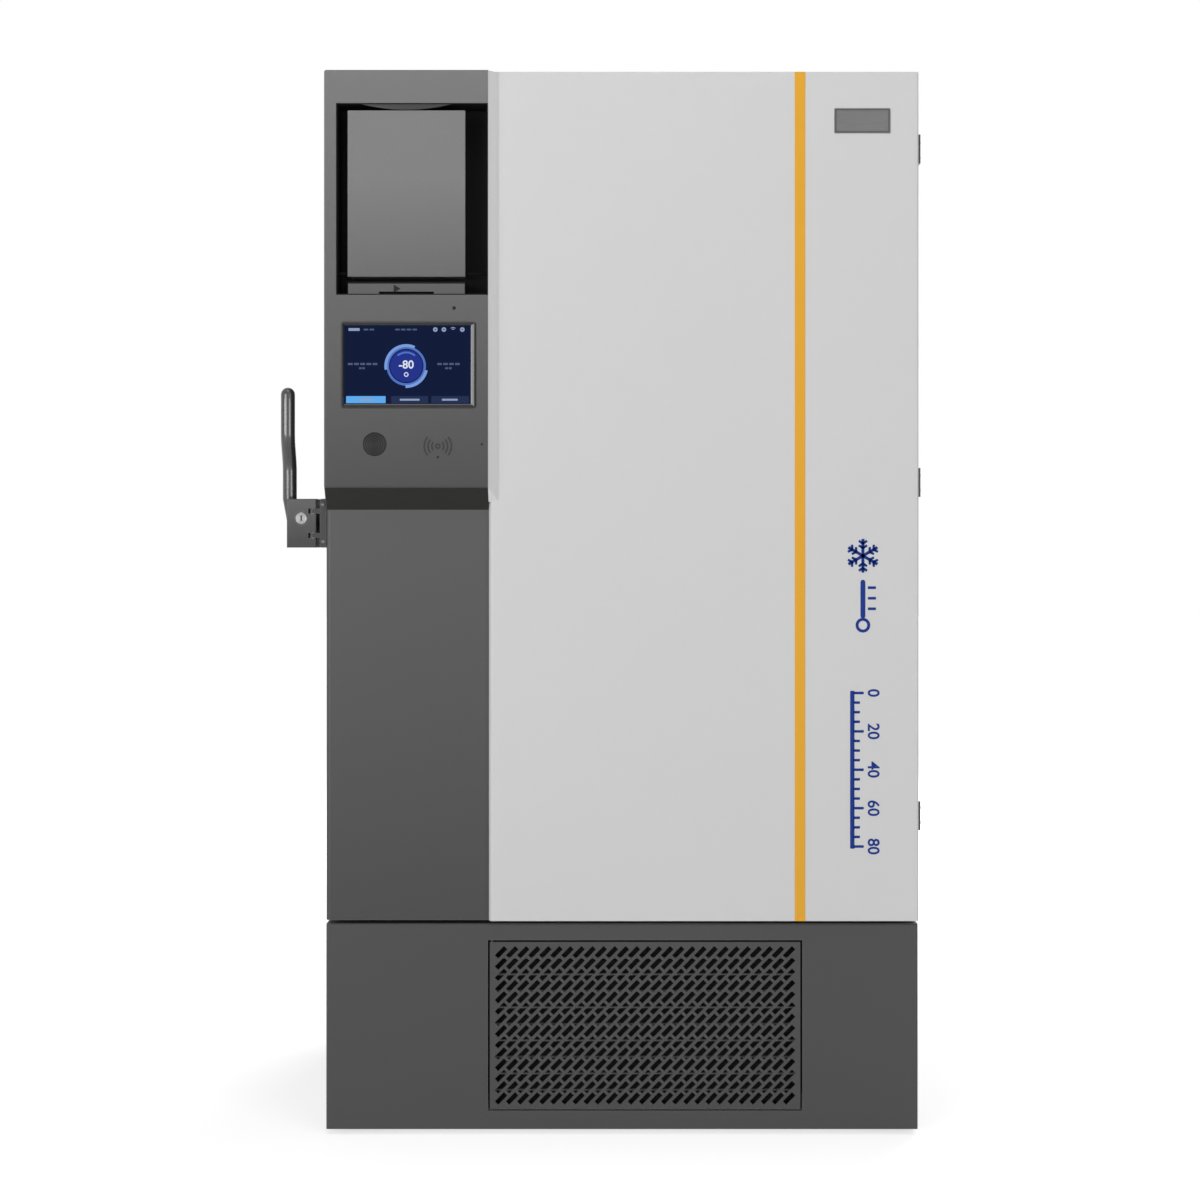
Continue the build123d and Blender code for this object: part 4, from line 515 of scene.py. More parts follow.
class Glow:
    """Lit colours of the display."""

    RING = lit("display_ring", srgb(78, 118, 206), tint=0.15, glow=0.9)
    RING_BRIGHT = lit("display_ring_bright", srgb(122, 160, 226), tint=0.15, glow=0.95)
    DIAL = lit("display_dial", srgb(24, 46, 142), tint=0.15, glow=0.9)
    TEXT = lit("display_white", srgb(226, 232, 246), tint=0.1, glow=0.95)
    FAINT = lit("display_faint", srgb(78, 92, 126), tint=0.15, glow=0.9)
    SOFT = lit("display_soft_white", srgb(150, 164, 200), tint=0.12, glow=0.9)
    BUTTON = lit("display_button_blue", srgb(92, 172, 242), tint=0.1, glow=0.95)
    BUTTON_DARK = lit("display_button_dark", srgb(26, 42, 82), tint=0.15, glow=0.9)


class Shop:
    """Hand tools: primitives and edit-mode operators, with selection by place."""

    SCREW_SIDES = 12
    SCREW_TOP = 0.9  # share of the height above which only the top's own edges lie
    SCREW_ROUND = 0.18  # share of the radius
    SOCKET_RIM = 0.35  # share of the radius
    SOCKET_DEPTH = 0.6  # share of the height
    NUMERAL_WEIGHT = 0.018  # swelling of the outline, as a share of the size
    NUMERAL_STEPS = 4
    SMOOTH_BELOW = 35.0  # degrees between two faces

    @staticmethod
    def clear() -> None:
        """Go back to object mode with nothing selected."""
        if bpy.context.mode != "OBJECT":
            bpy.ops.object.mode_set(mode="OBJECT")
        bpy.ops.object.select_all(action="DESELECT")

    @classmethod
    def hold(cls, *pieces: Piece) -> None:
        """Select some pieces and nothing else, the first one active.

        Args:
            pieces: The objects.
        """
        cls.clear()
        for piece in pieces:
            piece.select_set(True)
        bpy.context.view_layer.objects.active = pieces[0]

    @staticmethod
    def settle(name: str) -> Piece:
        """Name the new primitive and put its place into its mesh.

        Args:
            name: Name of the piece.

        Returns:
            The new object.
        """
        made = bpy.context.active_object
        made.name = name
        bpy.ops.object.transform_apply(location=True, rotation=True, scale=True)
        return made

    @classmethod
    def block(cls, name: str, low: Sequence[float], high: Sequence[float]) -> Piece:
        """Add a block.

        Args:
            name: Name of the piece.
            low: Lowest corner.
            high: Highest corner.

        Returns:
            The new object.
        """
        cls.clear()
        centre = [(a + b) / 2 for a, b in zip(low, high)]
        size = [b - a for a, b in zip(low, high)]
        bpy.ops.mesh.primitive_cube_add(size=1.0, location=centre, scale=size)
        return cls.settle(name)

    @classmethod
    def disc(cls, name: str, centre: Sequence[float], radius: float, depth: float,
             axis: Axis = Axis.Y, sides: int = 48) -> Piece:
        """Add a round disc.

        Args:
            name: Name of the piece.
            centre: Middle of the disc.
            radius: Its radius.
            depth: Its thickness along the axis.
            axis: Direction of the disc's axis.
            sides: Number of sides.

        Returns:
            The new object.
        """
        cls.clear()
        turn = axis.vector().to_track_quat("Z", "Y").to_euler()
        bpy.ops.mesh.primitive_cylinder_add(
            vertices=sides, radius=radius, depth=depth, location=centre, rotation=turn
        )
        return cls.settle(name)

    @classmethod
    @contextmanager
    def edit(cls, piece: Piece, kind: Pick = Pick.FACE) -> Iterator[None]:
        """Open a piece in edit mode with nothing selected, and close it again.

        Args:
            piece: The object.
            kind: What the selection works on.
        """
        cls.hold(piece)
        bpy.ops.object.mode_set(mode="EDIT")
        bpy.ops.mesh.select_mode(type=kind.value)
        bpy.ops.mesh.select_all(action="DESELECT")
        yield
        bpy.ops.object.mode_set(mode="OBJECT")

    @staticmethod
    def pick(kind: Pick, test: Callable) -> None:
        """Select parts of the open piece.

        Args:
            kind: Faces or edges.
            test: Whether a face or an edge is wanted.
        """
        data = bpy.context.edit_object.data
        mesh = bmesh.from_edit_mesh(data)
        for part in mesh.faces if kind is Pick.FACE else mesh.edges:
            part.select_set(bool(test(part)))
        mesh.select_flush_mode()
        bmesh.update_edit_mesh(data)

    @staticmethod
    def push(x: float, y: float, z: float) -> None:
        """Extrude what is selected by a shift."""
        bpy.ops.mesh.extrude_region_move(TRANSFORM_OT_translate={"value": (x, y, z)})

    @classmethod
    def trim(cls, piece: Piece, point: Sequence[float], normal: Sequence[float]) -> None:
        """Cut off what lies beyond a plane, and close the cut.

        Args:
            piece: The object.
            point: Any point of the plane.
            normal: Direction to the side that goes.
        """
        with cls.edit(piece):
            bpy.ops.mesh.select_all(action="SELECT")
            bpy.ops.mesh.bisect(
                plane_co=tuple(point), plane_no=tuple(normal), use_fill=True, clear_outer=True
            )

    @classmethod
    def hollow(cls, piece: Piece, width: float) -> Piece:
        """Open a flat piece from its front to its rear, which leaves a frame.

        Args:
            piece: The object.
            width: Width of the frame.

        Returns:
            The same object.
        """
        with cls.edit(piece):
            cls.pick(Pick.FACE, lambda f: abs(f.normal.y) > FACING)
            bpy.ops.mesh.inset(thickness=width)
            bpy.ops.mesh.bridge_edge_loops()
        return piece

    @classmethod
    def bevel(cls, piece: Piece, test: Callable, width: float, steps: int = 3) -> Piece:
        """Round some edges of a piece.

        Args:
            piece: The object.
            test: Whether an edge is wanted.
            width: Width of the rounding.
            steps: Its segments.

        Returns:
            The same object.
        """
        with cls.edit(piece, Pick.EDGE):
            cls.pick(Pick.EDGE, test)
            bpy.ops.mesh.bevel(offset=width, segments=steps, affect="EDGES")
        return piece

    @classmethod
    def bar(cls, name: str, low: Sequence[float], high: Sequence[float], corner: float,
            axis: Axis = Axis.Y, steps: int = 4) -> Piece:
        """Block whose edges along one axis are rounded.

        Args:
            name: Name of the piece.
            low: Lowest corner.
            high: Highest corner.
            corner: Radius of the rounded edges.
            axis: Direction of those edges.
            steps: Segments of each rounding.

        Returns:
            The new object.
        """
        piece = cls.block(name, low, high)
        return cls.bevel(piece, lambda e: cls.runs_along(e, axis), corner, steps)

    @staticmethod
    def runs_along(edge: bmesh.types.BMEdge, axis: Axis) -> bool:
        """Whether an edge is parallel to an axis."""
        run = (edge.verts[1].co - edge.verts[0].co).normalized()
        return abs(run.dot(axis.vector())) > PARALLEL

    @staticmethod
    def before(depth: float) -> Callable:
        """Test for edges that lie wholly in front of a depth, or in it."""
        return lambda e: all(v.co.y < depth + TOUCH for v in e.verts)

    @classmethod
    def ring(cls, name: str, centre: Sequence[float], outer: float, inner: float,
             depth: float, sides: int = 64) -> Piece:
        """Flat ring that faces the front.

        Args:
            name: Name of the piece.
            centre: Middle of its rear face.
            outer: Outer radius.
            inner: Inner radius.
            depth: How far it stands out.
            sides: Number of sides.

        Returns:
            The new object.
        """
        middle = Vector(centre) + FRONT * depth / 2
        return cls.hollow(cls.disc(name, middle, outer, depth, sides=sides), outer - inner)

    @classmethod
    def sector(cls, piece: Piece, centre: Sequence[float], heading: float, half: float) -> Piece:
        """Cut a ring down to one arc.

        Args:
            piece: The ring.
            centre: Middle of the ring.
            heading: Direction of the arc's middle from +X towards +Z, in degrees.
            half: Half of the arc's angle, in degrees, under 90.

        Returns:
            The same object.
        """
        for way in (1, -1):
            angle = math.radians(heading + way * half)
            cls.trim(piece, centre, Vector((-math.sin(angle), 0.0, math.cos(angle))) * way)
        return piece

    @classmethod
    def screw(cls, radius: float = 0.004, depth: float = 0.0022) -> Piece:
        """Round head with a sunk socket, at the origin, facing +Z.

        Args:
            radius: Radius of the head.
            depth: Its height.

        Returns:
            The new object.
        """
        piece = cls.disc("screw", (0.0, 0.0, depth / 2), radius, depth, Axis.Z, cls.SCREW_SIDES)
        rim = depth * cls.SCREW_TOP
        cls.bevel(piece, lambda e: min(v.co.z for v in e.verts) > rim, radius * cls.SCREW_ROUND, steps=2)
        with cls.edit(piece):
            cls.pick(Pick.FACE, lambda f: f.normal.z > FACING and f.calc_center_median().z > rim)
            bpy.ops.mesh.inset(thickness=radius * cls.SOCKET_RIM)
            cls.push(0.0, 0.0, -depth * cls.SOCKET_DEPTH)
        return piece

    @classmethod
    def copies(cls, piece: Piece, places: Sequence[Matrix], name: str) -> Piece:
        """Copy a modelled piece to several places and join the copies.

        Args:
            piece: The pattern, which is used up.
            places: Placement of each copy.
            name: Name of the joined piece.

        Returns:
            The joined object.
        """
        made = []
        for place in places:
            twin = piece.copy()
            twin.data = piece.data.copy()
            twin.data.transform(place)
            bpy.context.collection.objects.link(twin)
            made.append(twin)
        bpy.data.objects.remove(piece)
        return cls.join(made, name)

    @classmethod
    def join(cls, parts: Sequence[Piece], name: str) -> Piece:
        """Join objects into one piece.

        Args:
            parts: The objects, one or more.
            name: Name of the joined piece.

        Returns:
            The joined object.
        """
        cls.hold(*parts)
        if len(parts) > 1:
            bpy.ops.object.join()
        parts[0].name = name
        return parts[0]

    @classmethod
    def number(cls, text: str, centre: Sequence[float], size: float, depth: float,
               spin: float = 0.0) -> Piece:
        """Plain numerals that face the front.

        Args:
            text: The numerals.
            centre: Middle of the text on the surface.
            size: Height of the characters' body.
            depth: How far they stand out.
            spin: Turn about the view axis, in degrees.

        Returns:
            The text as a mesh.
        """
        cls.clear()
        bpy.ops.object.text_add(location=centre, rotation=(math.pi / 2, math.radians(spin), 0.0))
        shape = bpy.context.active_object.data
        shape.body, shape.size, shape.extrude = text, size, depth
        shape.align_x = shape.align_y = "CENTER"
        shape.offset = size * cls.NUMERAL_WEIGHT
        shape.resolution_u = cls.NUMERAL_STEPS
        bpy.ops.object.convert(target="MESH")
        return cls.settle("numerals")

    @classmethod
    def smooth(cls, piece: Piece) -> None:
        """Smooth the shading, and keep the sharp edges."""
        cls.hold(piece)
        bpy.ops.object.shade_smooth_by_angle(angle=math.radians(cls.SMOOTH_BELOW))


class SubAssembly:
    """Common part of the sub-assemblies: coating frame nodes and fitting new pieces."""

    def coat(self, finish: Finish, *nodes: str) -> None:
        """Give frame nodes a finish.

        Args:
            finish: The finish.
            nodes: Names of the nodes.
        """
        for name in nodes:
            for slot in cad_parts[name].material_slots:
                slot.material = finish.material()
            LOG.info("coated %s with %s", name, finish.name)

    def fit(self, piece: Piece, finish: Finish, body: str, slot: str,
            stands_for: Sequence[str] = ()) -> None:
        """Finish a new piece and hang it on its body.

        Args:
            piece: The modelled object.
            finish: Its material.
            body: Body of the frame that carries it.
            slot: The record's material slot; not used.
            stands_for: Frame nodes that it replaces.
        """
        piece.data.materials.clear()
        piece.data.materials.append(finish.material())
        Shop.smooth(piece)
        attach(piece, body)
        if stands_for:
            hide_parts(*stands_for)
        LOG.info("fitted %s on %s", piece.name, body)

    def rear_screws(self, spots: Sequence[Spot], depth: float, name: str) -> None:
        """Screws in a sheet of the cabinet that faces the rear.

        Args:
            spots: X and Z of each screw.
            depth: Depth of the sheet's face.
            name: Name of the joined piece.
        """
        turn = Matrix.Rotation(-math.pi / 2, 4, "X")
        places = [Matrix.Translation((x, depth, z)) @ turn for x, z in spots]
        self.fit(Shop.copies(Shop.screw(), places, name), Palette.STEEL, "cabinet", "zinc_steel")


@dataclass
class CabinetBody(SubAssembly):
    """Outer cabinet: skins, liner, rear sheet and its fasteners."""

    screw_inset: float = 0.016
    side_screws: int = 7
    top_gaps: int = 4

    def build(self) -> None:
        """Screws round the rear sheet."""
        low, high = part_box("cabinet_back_panel")
        inset = self.screw_inset
        spots = []
        for i in range(self.side_screws):
            z = low.z + inset + (high.z - low.z - 2 * inset) * i / (self.side_screws - 1)
            spots += [(low.x + inset, z), (high.x - inset, z)]
        for i in range(1, self.top_gaps):
            x = low.x + inset + (high.x - low.x - 2 * inset) * i / self.top_gaps
            spots += [(x, low.z + inset), (x, high.z - inset)]
        self.rear_screws(spots, high.y, "rear_sheet_screws")

    def dress(self) -> None:
        """Finishes of the cabinet's own sheets and linings."""
        self.coat(Palette.LIGHT, "cabinet_shell", "cabinet_back_panel")
        self.coat(Palette.FRAME, "door_frame", "access_port")
        self.coat(Palette.FOAM, "cabinet_insulation", "door_core")
        self.coat(Palette.STAINLESS, "inner_liner", "shelves")
        self.coat(Palette.STEEL, "inner_door_rod", "latch_strike")
        self.coat(Palette.COPPER, "evaporator_coil")


@dataclass
class InnerDoors(SubAssembly):
    """Four inner doors with a pull bar in each recess."""

    count: int = 4
    recess_from_left: float = 0.045
    bar_half: float = 0.006
    bar_reach: float = 0.0452
    bar_sink: float = 0.001
    bar_depth: float = 0.005
    bar_round: float = 0.002

    def build(self) -> None:
        """A rounded pull bar across each recess."""
        for i in range(1, self.count + 1):
            low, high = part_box(f"inner_door_{i}")
            x, z = low.x + self.recess_from_left, (low.z + high.z) / 2
            front = low.y + self.bar_sink
            piece = Shop.bar(
                f"inner_door_pull_{i}",
                (x - self.bar_half, front, z - self.bar_reach),
                (x + self.bar_half, front + self.bar_depth, z + self.bar_reach),
                self.bar_round, Axis.Z,
            )
            self.fit(piece, Palette.STEEL, f"inner_flap_{i}", "stainless")

    def dress(self) -> None:
        """White moulded inner doors."""
        self.coat(Palette.WHITE, *[f"inner_door_{i}" for i in range(1, self.count + 1)])


@dataclass
class DoorSeal(SubAssembly):
    """Gasket round the door: a magnet bar on folded lips."""

    width: float = 0.036
    foot: float = 0.004
    fold: float = 0.006
    folds: int = 4

    def build(self) -> None:
        """Extrude a flat frame in folds and put it in place of the plain gasket."""
        low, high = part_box("door_gasket")
        piece = Shop.block("door_gasket_folds", low, (high.x, low.y + self.foot, high.z))
        Shop.hollow(piece, self.width)
        step = (high.y - low.y - self.foot) / self.folds
        for i in range(self.folds):
            inward = i % 2 == 0
            with Shop.edit(piece):
                top = max(v.co.y for v in piece.data.vertices) - TOUCH
                Shop.pick(Pick.FACE, lambda f: f.normal.y > FACING and f.calc_center_median().y > top)
                Shop.push(0.0, step, 0.0)
                width = self.fold if inward else self.fold / 2
                bpy.ops.mesh.inset(thickness=width, use_outset=not inward)
        self.fit(piece, Palette.GASKET, "door", "gasket_rubber", ["door_gasket"])

    def dress(self) -> None:
        """White liner that the gasket sits on."""
        self.coat(Palette.WHITE, "door_inner_liner")


@dataclass
class DoorFront(SubAssembly):
    """Light panel with its strip, badge and blue markings."""

    ink: float = 0.0004
    rim_inset: float = 0.0015
    rim_rise: float = 0.0006
    rim_sink: float = 0.0002
    rim_round: float = 0.0015
    rim_width: float = 0.0025
    mark_x: float = across(0.4425)
    snow_z: float = 1.066
    snow_reach: float = 0.031
    arms: int = 6
    arm_half: float = 0.0028
    twig_half: float = 0.00224
    twig_shares: Spot = (0.45, 0.72)
    twig_length: float = 0.0093
    twig_lean: float = 55.0
    stem_low: float = 0.925
    stem_high: float = 1.022
    stem_half: float = 0.0045
    stem_round: float = 0.004
    stem_lap: float = 0.001
    bulb: float = 0.0135
    bulb_line: float = 0.0055
    level_shares: Point = (0.45, 0.65, 0.85)
    level_reach: Spot = (0.009, 0.024)
    level_half: float = 0.0025
    scale_low: float = 0.528
    scale_high: float = 0.818
    scale_x: float = across(0.4230)
    scale_half: float = 0.004
    steps: int = 16
    steps_a_number: int = 4
    number_step: int = 20
    number_size: float = 0.030
    number_shift: float = 0.038
    tick_start: float = 0.002
    tick_half: float = 0.0024
    tick_round: float = 0.0005
    long_tick: float = 0.019
    short_tick: float = 0.012

    def build(self) -> None:
        """Badge rim, snow mark, thermometer mark and graduated scale."""
        self.badge_rim()
        self.snow_mark()
        self.thermometer_mark()
        self.scale_mark()

    def surface(self) -> float:
        """Depth of the light panel's face."""
        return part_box("door_front_panel")[0].y

    def badge_rim(self) -> None:
        """Raised frame along the edge of the bare badge plate."""
        low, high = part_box("badge_plate")
        edge = self.rim_inset
        piece = Shop.bar(
            "badge_rim",
            (low.x + edge, low.y - self.rim_rise, low.z + edge),
            (high.x - edge, low.y + self.rim_sink, high.z - edge),
            self.rim_round,
        )
        self.fit(Shop.hollow(piece, self.rim_width), Palette.BADGE_RIM, "door", "badge_metal")

    def stroke(self, low: Spot, high: Spot, corner: float = 0.001) -> Piece:
        """Ink stroke on the panel between two corners in X and Z."""
        y = self.surface()
        return Shop.bar("stroke", (low[0], y - self.ink, low[1]), (high[0], y, high[1]), corner, steps=2)

    def snow_mark(self) -> None:
        """Arms with two pairs of twigs each, round a centre."""
        x, z = self.mark_x, self.snow_z
        parts = [self.stroke((x - self.arm_half, z), (x + self.arm_half, z + self.snow_reach))]
        for share in self.twig_shares:
            root = Vector((x, 0.0, z + self.snow_reach * share))
            for way in (1, -1):
                low, high = (x - self.twig_half, root.z), (x + self.twig_half, root.z + self.twig_length)
                twig = self.stroke(low, high)
                turn = Matrix.Rotation(math.radians(self.twig_lean * way), 4, "Y")
                twig.data.transform(Matrix.Translation(root) @ turn @ Matrix.Translation(-root))
                parts.append(twig)
        arm = Shop.join(parts, "arm")
        hub = Matrix.Translation((x, 0.0, z))
        back = hub.inverted()
        turns = [math.radians(360 / self.arms * i) for i in range(self.arms)]
        places = [hub @ Matrix.Rotation(turn, 4, "Y") @ back for turn in turns]
        self.fit(Shop.copies(arm, places, "snow_mark"), Palette.BLUE, "door", "light_panel")

    def thermometer_mark(self) -> None:
        """Bulb, stem and three level ticks."""
        x, half, bulb = self.mark_x, self.stem_half, self.bulb
        centre = (x, self.surface(), self.stem_low + bulb)
        foot = self.stem_low + 2 * bulb - self.stem_lap
        parts = [
            Shop.ring("bulb", centre, bulb, bulb - self.bulb_line, self.ink, sides=48),
            self.stroke((x - half, foot), (x + half, self.stem_high), self.stem_round),
        ]
        start, end = self.level_reach
        for share in self.level_shares:
            z = self.stem_low + (self.stem_high - self.stem_low) * share
            parts.append(self.stroke((x + start, z - self.level_half), (x + end, z + self.level_half)))
        self.fit(Shop.join(parts, "thermometer_mark"), Palette.BLUE, "door", "light_panel")

    def scale_mark(self) -> None:
        """Graduated line with plain numbers, turned as on a side-read gauge."""
        x, half = self.scale_x, self.scale_half
        parts = [self.stroke((x - half, self.scale_low), (x + half, self.scale_high))]
        rise = self.scale_high - self.scale_low - 2 * half
        start = x + self.tick_start
        for i in range(self.steps + 1):
            z = self.scale_low + half + rise * i / self.steps
            numbered = i % self.steps_a_number == 0
            end = start + (self.long_tick if numbered else self.short_tick)
            low, high = (start, z - self.tick_half), (end, z + self.tick_half)
            parts.append(self.stroke(low, high, self.tick_round))
            if numbered:
                value = self.number_step * (self.steps - i) // self.steps_a_number
                spot = (x + self.number_shift, self.surface(), z)
                parts.append(Shop.number(str(value), spot, self.number_size, self.ink, spin=90))
        self.fit(Shop.join(parts, "graduated_scale"), Palette.BLUE, "door", "light_panel")

    def dress(self) -> None:
        """Finishes of the door's outside."""
        self.coat(Palette.LIGHT, "door_front_panel")
        self.coat(Palette.COLUMN, "column_lower_panel")
        self.coat(Palette.AMBER, "accent_strip")
        self.coat(Palette.BADGE, "badge_plate")
        self.coat(Palette.HINGE, "hinge_door_halves", "hinge_cabinet_halves")


@dataclass
class Console(SubAssembly):
    """Moulded console with the niche, the bin and the small marks."""

    mark_x: float = across(-0.3366)
    mark_z: float = 1.2665
    arc_radii: Point = (0.0125, 0.0195, 0.0265)
    arc_width: float = 0.0032
    arc_half: float = 42.0
    eye_radii: Spot = (0.0055, 0.002)
    relief: float = 0.0004
    dot_z: float = 1.2464
    edge_dot: Spot = (across(-0.256), 1.2700)
    dot_radius: float = 0.0022
    dot_round: float = 0.0002
    lens: Spot = (across(-0.307), 1.519)
    lens_radius: float = 0.0034
    lens_depth: float = 0.004
    lens_sink: float = 0.0002
    lens_dome: float = 0.0016
    arrow: Spot = (across(-0.4135), 1.5548)
    arrow_reach: float = 0.0085
    arrow_depth: float = 0.0006
    arrow_lift: float = 0.0001
    arrow_round: float = 0.0008
    slope_height: float = 0.043
    slope_sheet: float = 0.0008
    slope_margin: float = 0.002
    slope_end: float = 0.0005
    slope_round: float = 0.001
    strip_width: float = 0.018
    strip_inset: float = 0.0012
    strip_edge: float = 0.0004
    lip_width: float = 0.170
    lip_drop: float = 0.0108
    lip_cap: float = 0.0016
    lip_gap: float = 0.0012
    lip_round: float = 0.0006
    ledge_height: float = 0.025
    ledge_round: float = 0.004
    ledge_slot: float = 0.100
    ledge_margin: float = 0.001
    ledge_foot: float = 0.0008
    slot_top: float = 0.0065
    plate: float = 0.0008
    bezel_rise: float = 0.0030
    bezel_lap: float = 0.0012
    bezel_left: float = 0.0022
    bezel_right: float = 0.0072
    bezel_top: float = 0.0030
    bezel_bottom: float = 0.0045

    def build(self) -> None:
        """Trims, marks and lenses of the console and the niche."""
        self.underside()
        self.edge_strip()
        self.tap_mark()
        self.sensor_lens()
        self.finger_lip()
        self.ledge_plate()
        self.ledge_arrow()
        self.screen_bezel()

    def underside(self) -> None:
        """Dark plate on the slope under the console: painted shade, a near-black sheet in place of the
        shadow the slope lies in.
        """
        low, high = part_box("console_moulding")
        bottom = Vector((low.x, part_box("column_lower_panel")[0].y, low.z))
        run = Vector((low.x, low.y, low.z + self.slope_height)) - bottom
        margin = self.slope_margin
        piece = Shop.bar(
            "console_underside_shade_plate",
            (low.x + margin, -self.slope_sheet, margin),
            (high.x - self.slope_end, 0.0, run.length - 2 * margin),
            self.slope_round,
        )
        lean = Matrix.Rotation(math.atan2(-run.y, run.z), 4, "X")
        piece.data.transform(Matrix.Translation((0.0, bottom.y, bottom.z)) @ lean)
        self.fit(piece, Palette.SLOPE, "door", "console_plastic")

    def edge_strip(self) -> None:
        """Pale wedge that fills the step between the console and the light panel. Painted shadow and
        painted light: it stands in for the console's faint shadow on the panel, and its colour, lighter
        than the panel, hides the dark shade in the corner.
        """
        low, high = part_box("console_moulding")
        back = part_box("door_front_panel")[0].y
        front = low.y + self.strip_inset
        outer = high.x + self.strip_width
        corners = (high.x, front, low.z), (outer, back, high.z - self.strip_inset)
        piece = Shop.block("console_edge_strip", *corners)
        ahead = Shop.before(front)
        with Shop.edit(piece, Pick.EDGE):
            Shop.pick(Pick.EDGE, lambda e: ahead(e) and all(v.co.x > outer - TOUCH for v in e.verts))
            bpy.ops.transform.translate(value=(0.0, back - front - self.strip_edge, 0.0))
        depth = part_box("column_lower_panel")[0].y - low.y
        Shop.trim(piece, (0.0, low.y, low.z + self.slope_height), (0.0, -self.slope_height, -depth))
        Shop.bevel(piece, ahead, self.strip_edge, steps=2)
        self.fit(piece, Palette.EDGE, "door", "light_panel")

    def tap_mark(self) -> None:
        """Arcs on both sides of a centre, with a dot below and a dot at the edge."""
        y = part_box("console_moulding")[0].y
        centre = (self.mark_x, y, self.mark_z)
        parts = []
        for radius in self.arc_radii:
            for heading in (0.0, 180.0):
                ring = Shop.ring("arc", centre, radius, radius - self.arc_width, self.relief)
                parts.append(Shop.sector(ring, centre, heading, self.arc_half))
        parts.append(Shop.ring("eye", centre, *self.eye_radii, self.relief, sides=24))
        self.fit(Shop.join(parts, "tap_mark"), Palette.MARK, "door", "reader_black")
        pattern = Shop.disc("dot", FRONT * self.relief / 2, self.dot_radius, self.relief, sides=20)
        Shop.bevel(pattern, Shop.before(-self.relief), self.dot_round, steps=1)
        dots = ((self.mark_x, self.dot_z), self.edge_dot)
        places = [Matrix.Translation((x, y, z)) for x, z in dots]
        self.fit(Shop.copies(pattern, places, "console_dots"), Palette.DOT, "door", "reader_black")

    def sensor_lens(self) -> None:
        """Dark domed lens in the sensor hole."""
        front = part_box("console_moulding")[0].y + self.lens_sink
        centre = (self.lens[0], front + self.lens_depth / 2, self.lens[1])
        piece = Shop.disc("sensor_lens", centre, self.lens_radius, self.lens_depth, sides=32)
        Shop.bevel(piece, Shop.before(front), self.lens_dome, steps=4)
        self.fit(piece, Palette.DOT, "door", "reader_black")

    def finger_lip(self) -> None:
        """Lens-shaped cap on the lip above the bin."""
        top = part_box("niche_liner")[1].z - self.lip_gap
        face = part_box("document_bin")[0].y
        x = middle_of("document_bin").x
        radius = ((self.lip_width / 2) ** 2 + self.lip_drop ** 2) / (2 * self.lip_drop)
        centre = (x, face - self.lip_cap / 2, top - self.lip_drop + radius)
        piece = Shop.disc("finger_lip_cap", centre, radius, self.lip_cap, sides=360)
        Shop.trim(piece, (x, 0.0, top), Axis.Z.value)
        Shop.bevel(piece, Shop.before(face - self.lip_cap), self.lip_round, steps=2)
        self.fit(piece, Palette.LIP, "door", "niche_black")

    def ledge_plate(self) -> None:
        """Face plate of the ledge under the bin, open at the slot."""
        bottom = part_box("niche_liner")[0].z
        low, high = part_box("document_bin")
        middle, half = (low.x + high.x) / 2, self.ledge_slot / 2
        sill = bottom + self.slot_top
        piece = Shop.block(
            "ledge_plate",
            (low.x + self.ledge_margin, low.y - self.plate, sill),
            (high.x - self.ledge_margin, low.y, bottom + self.ledge_height - self.ledge_round),
        )
        with Shop.edit(piece):
            for x in (middle - half, middle + half):
                bpy.ops.mesh.select_all(action="SELECT")
                bpy.ops.mesh.bisect(plane_co=(x, 0.0, 0.0), plane_no=Axis.X.value)
            Shop.pick(
                Pick.FACE,
                lambda f: f.normal.z < -FACING and abs(f.calc_center_median().x - middle) > half,
            )
            Shop.push(0.0, 0.0, bottom + self.ledge_foot - sill)
        self.fit(piece, Palette.LEDGE, "door", "niche_black")

    def ledge_arrow(self) -> None:
        """Small arrow on the ledge under the bin."""
        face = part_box("document_bin")[0].y - self.plate
        spot = (self.arrow[0], face - self.arrow_lift, self.arrow[1])
        piece = Shop.disc("ledge_arrow", spot, self.arrow_reach, self.arrow_depth, sides=3)
        with Shop.edit(piece):
            bpy.ops.mesh.select_all(action="SELECT")
            bpy.ops.transform.rotate(value=-math.pi / 2, orient_axis="Y", center_override=spot)
        Shop.bevel(piece, lambda e: Shop.runs_along(e, Axis.Y), self.arrow_round, steps=2)
        self.fit(piece, Palette.DOT, "door", "niche_black")

    def screen_bezel(self) -> None:
        """Gloss frame on the edge of the glass, sloped down to the picture."""
        low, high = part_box("touch_glass")
        rim = Vector((self.bezel_lap, 0.0, self.bezel_lap))
        rise = FRONT * self.bezel_rise
        piece = Shop.block("screen_bezel", low - rim + rise, (high.x + rim.x, low.y, high.z + rim.z))
        Shop.hollow(piece, self.bezel_lap)
        with Shop.edit(piece):
            for way, width in (
                (Axis.X.vector(), self.bezel_left),
                (-Axis.X.vector(), self.bezel_right),
                (-Axis.Z.vector(), self.bezel_top),
                (Axis.Z.vector(), self.bezel_bottom),
            ):
                self.slope_side(low, high, way, width)
        self.fit(piece, Palette.BEZEL, "door", "screen_glass")

    def slope_side(self, low: Vector, high: Vector, way: Vector, width: float) -> None:
        """Move one inner edge of the open frame in along the glass.

        Args:
            low: Lowest corner of the glass.
            high: Highest corner of the glass.
            way: Direction from that edge to the middle of the glass.
            width: How far the edge moves.
        """
        corner = low if way.x + way.z > 0 else high

        def on_side(spot: Vector) -> bool:
            """Whether a point lies on that edge of the glass.

            Args:
                spot: The point.

            Returns:
                True for a point of the edge.
            """
            level = abs((spot - corner).dot(way)) < TOUCH and abs(spot.y - low.y) < TOUCH
            inside_x = low.x - TOUCH < spot.x < high.x + TOUCH
            return level and inside_x and low.z - TOUCH < spot.z < high.z + TOUCH

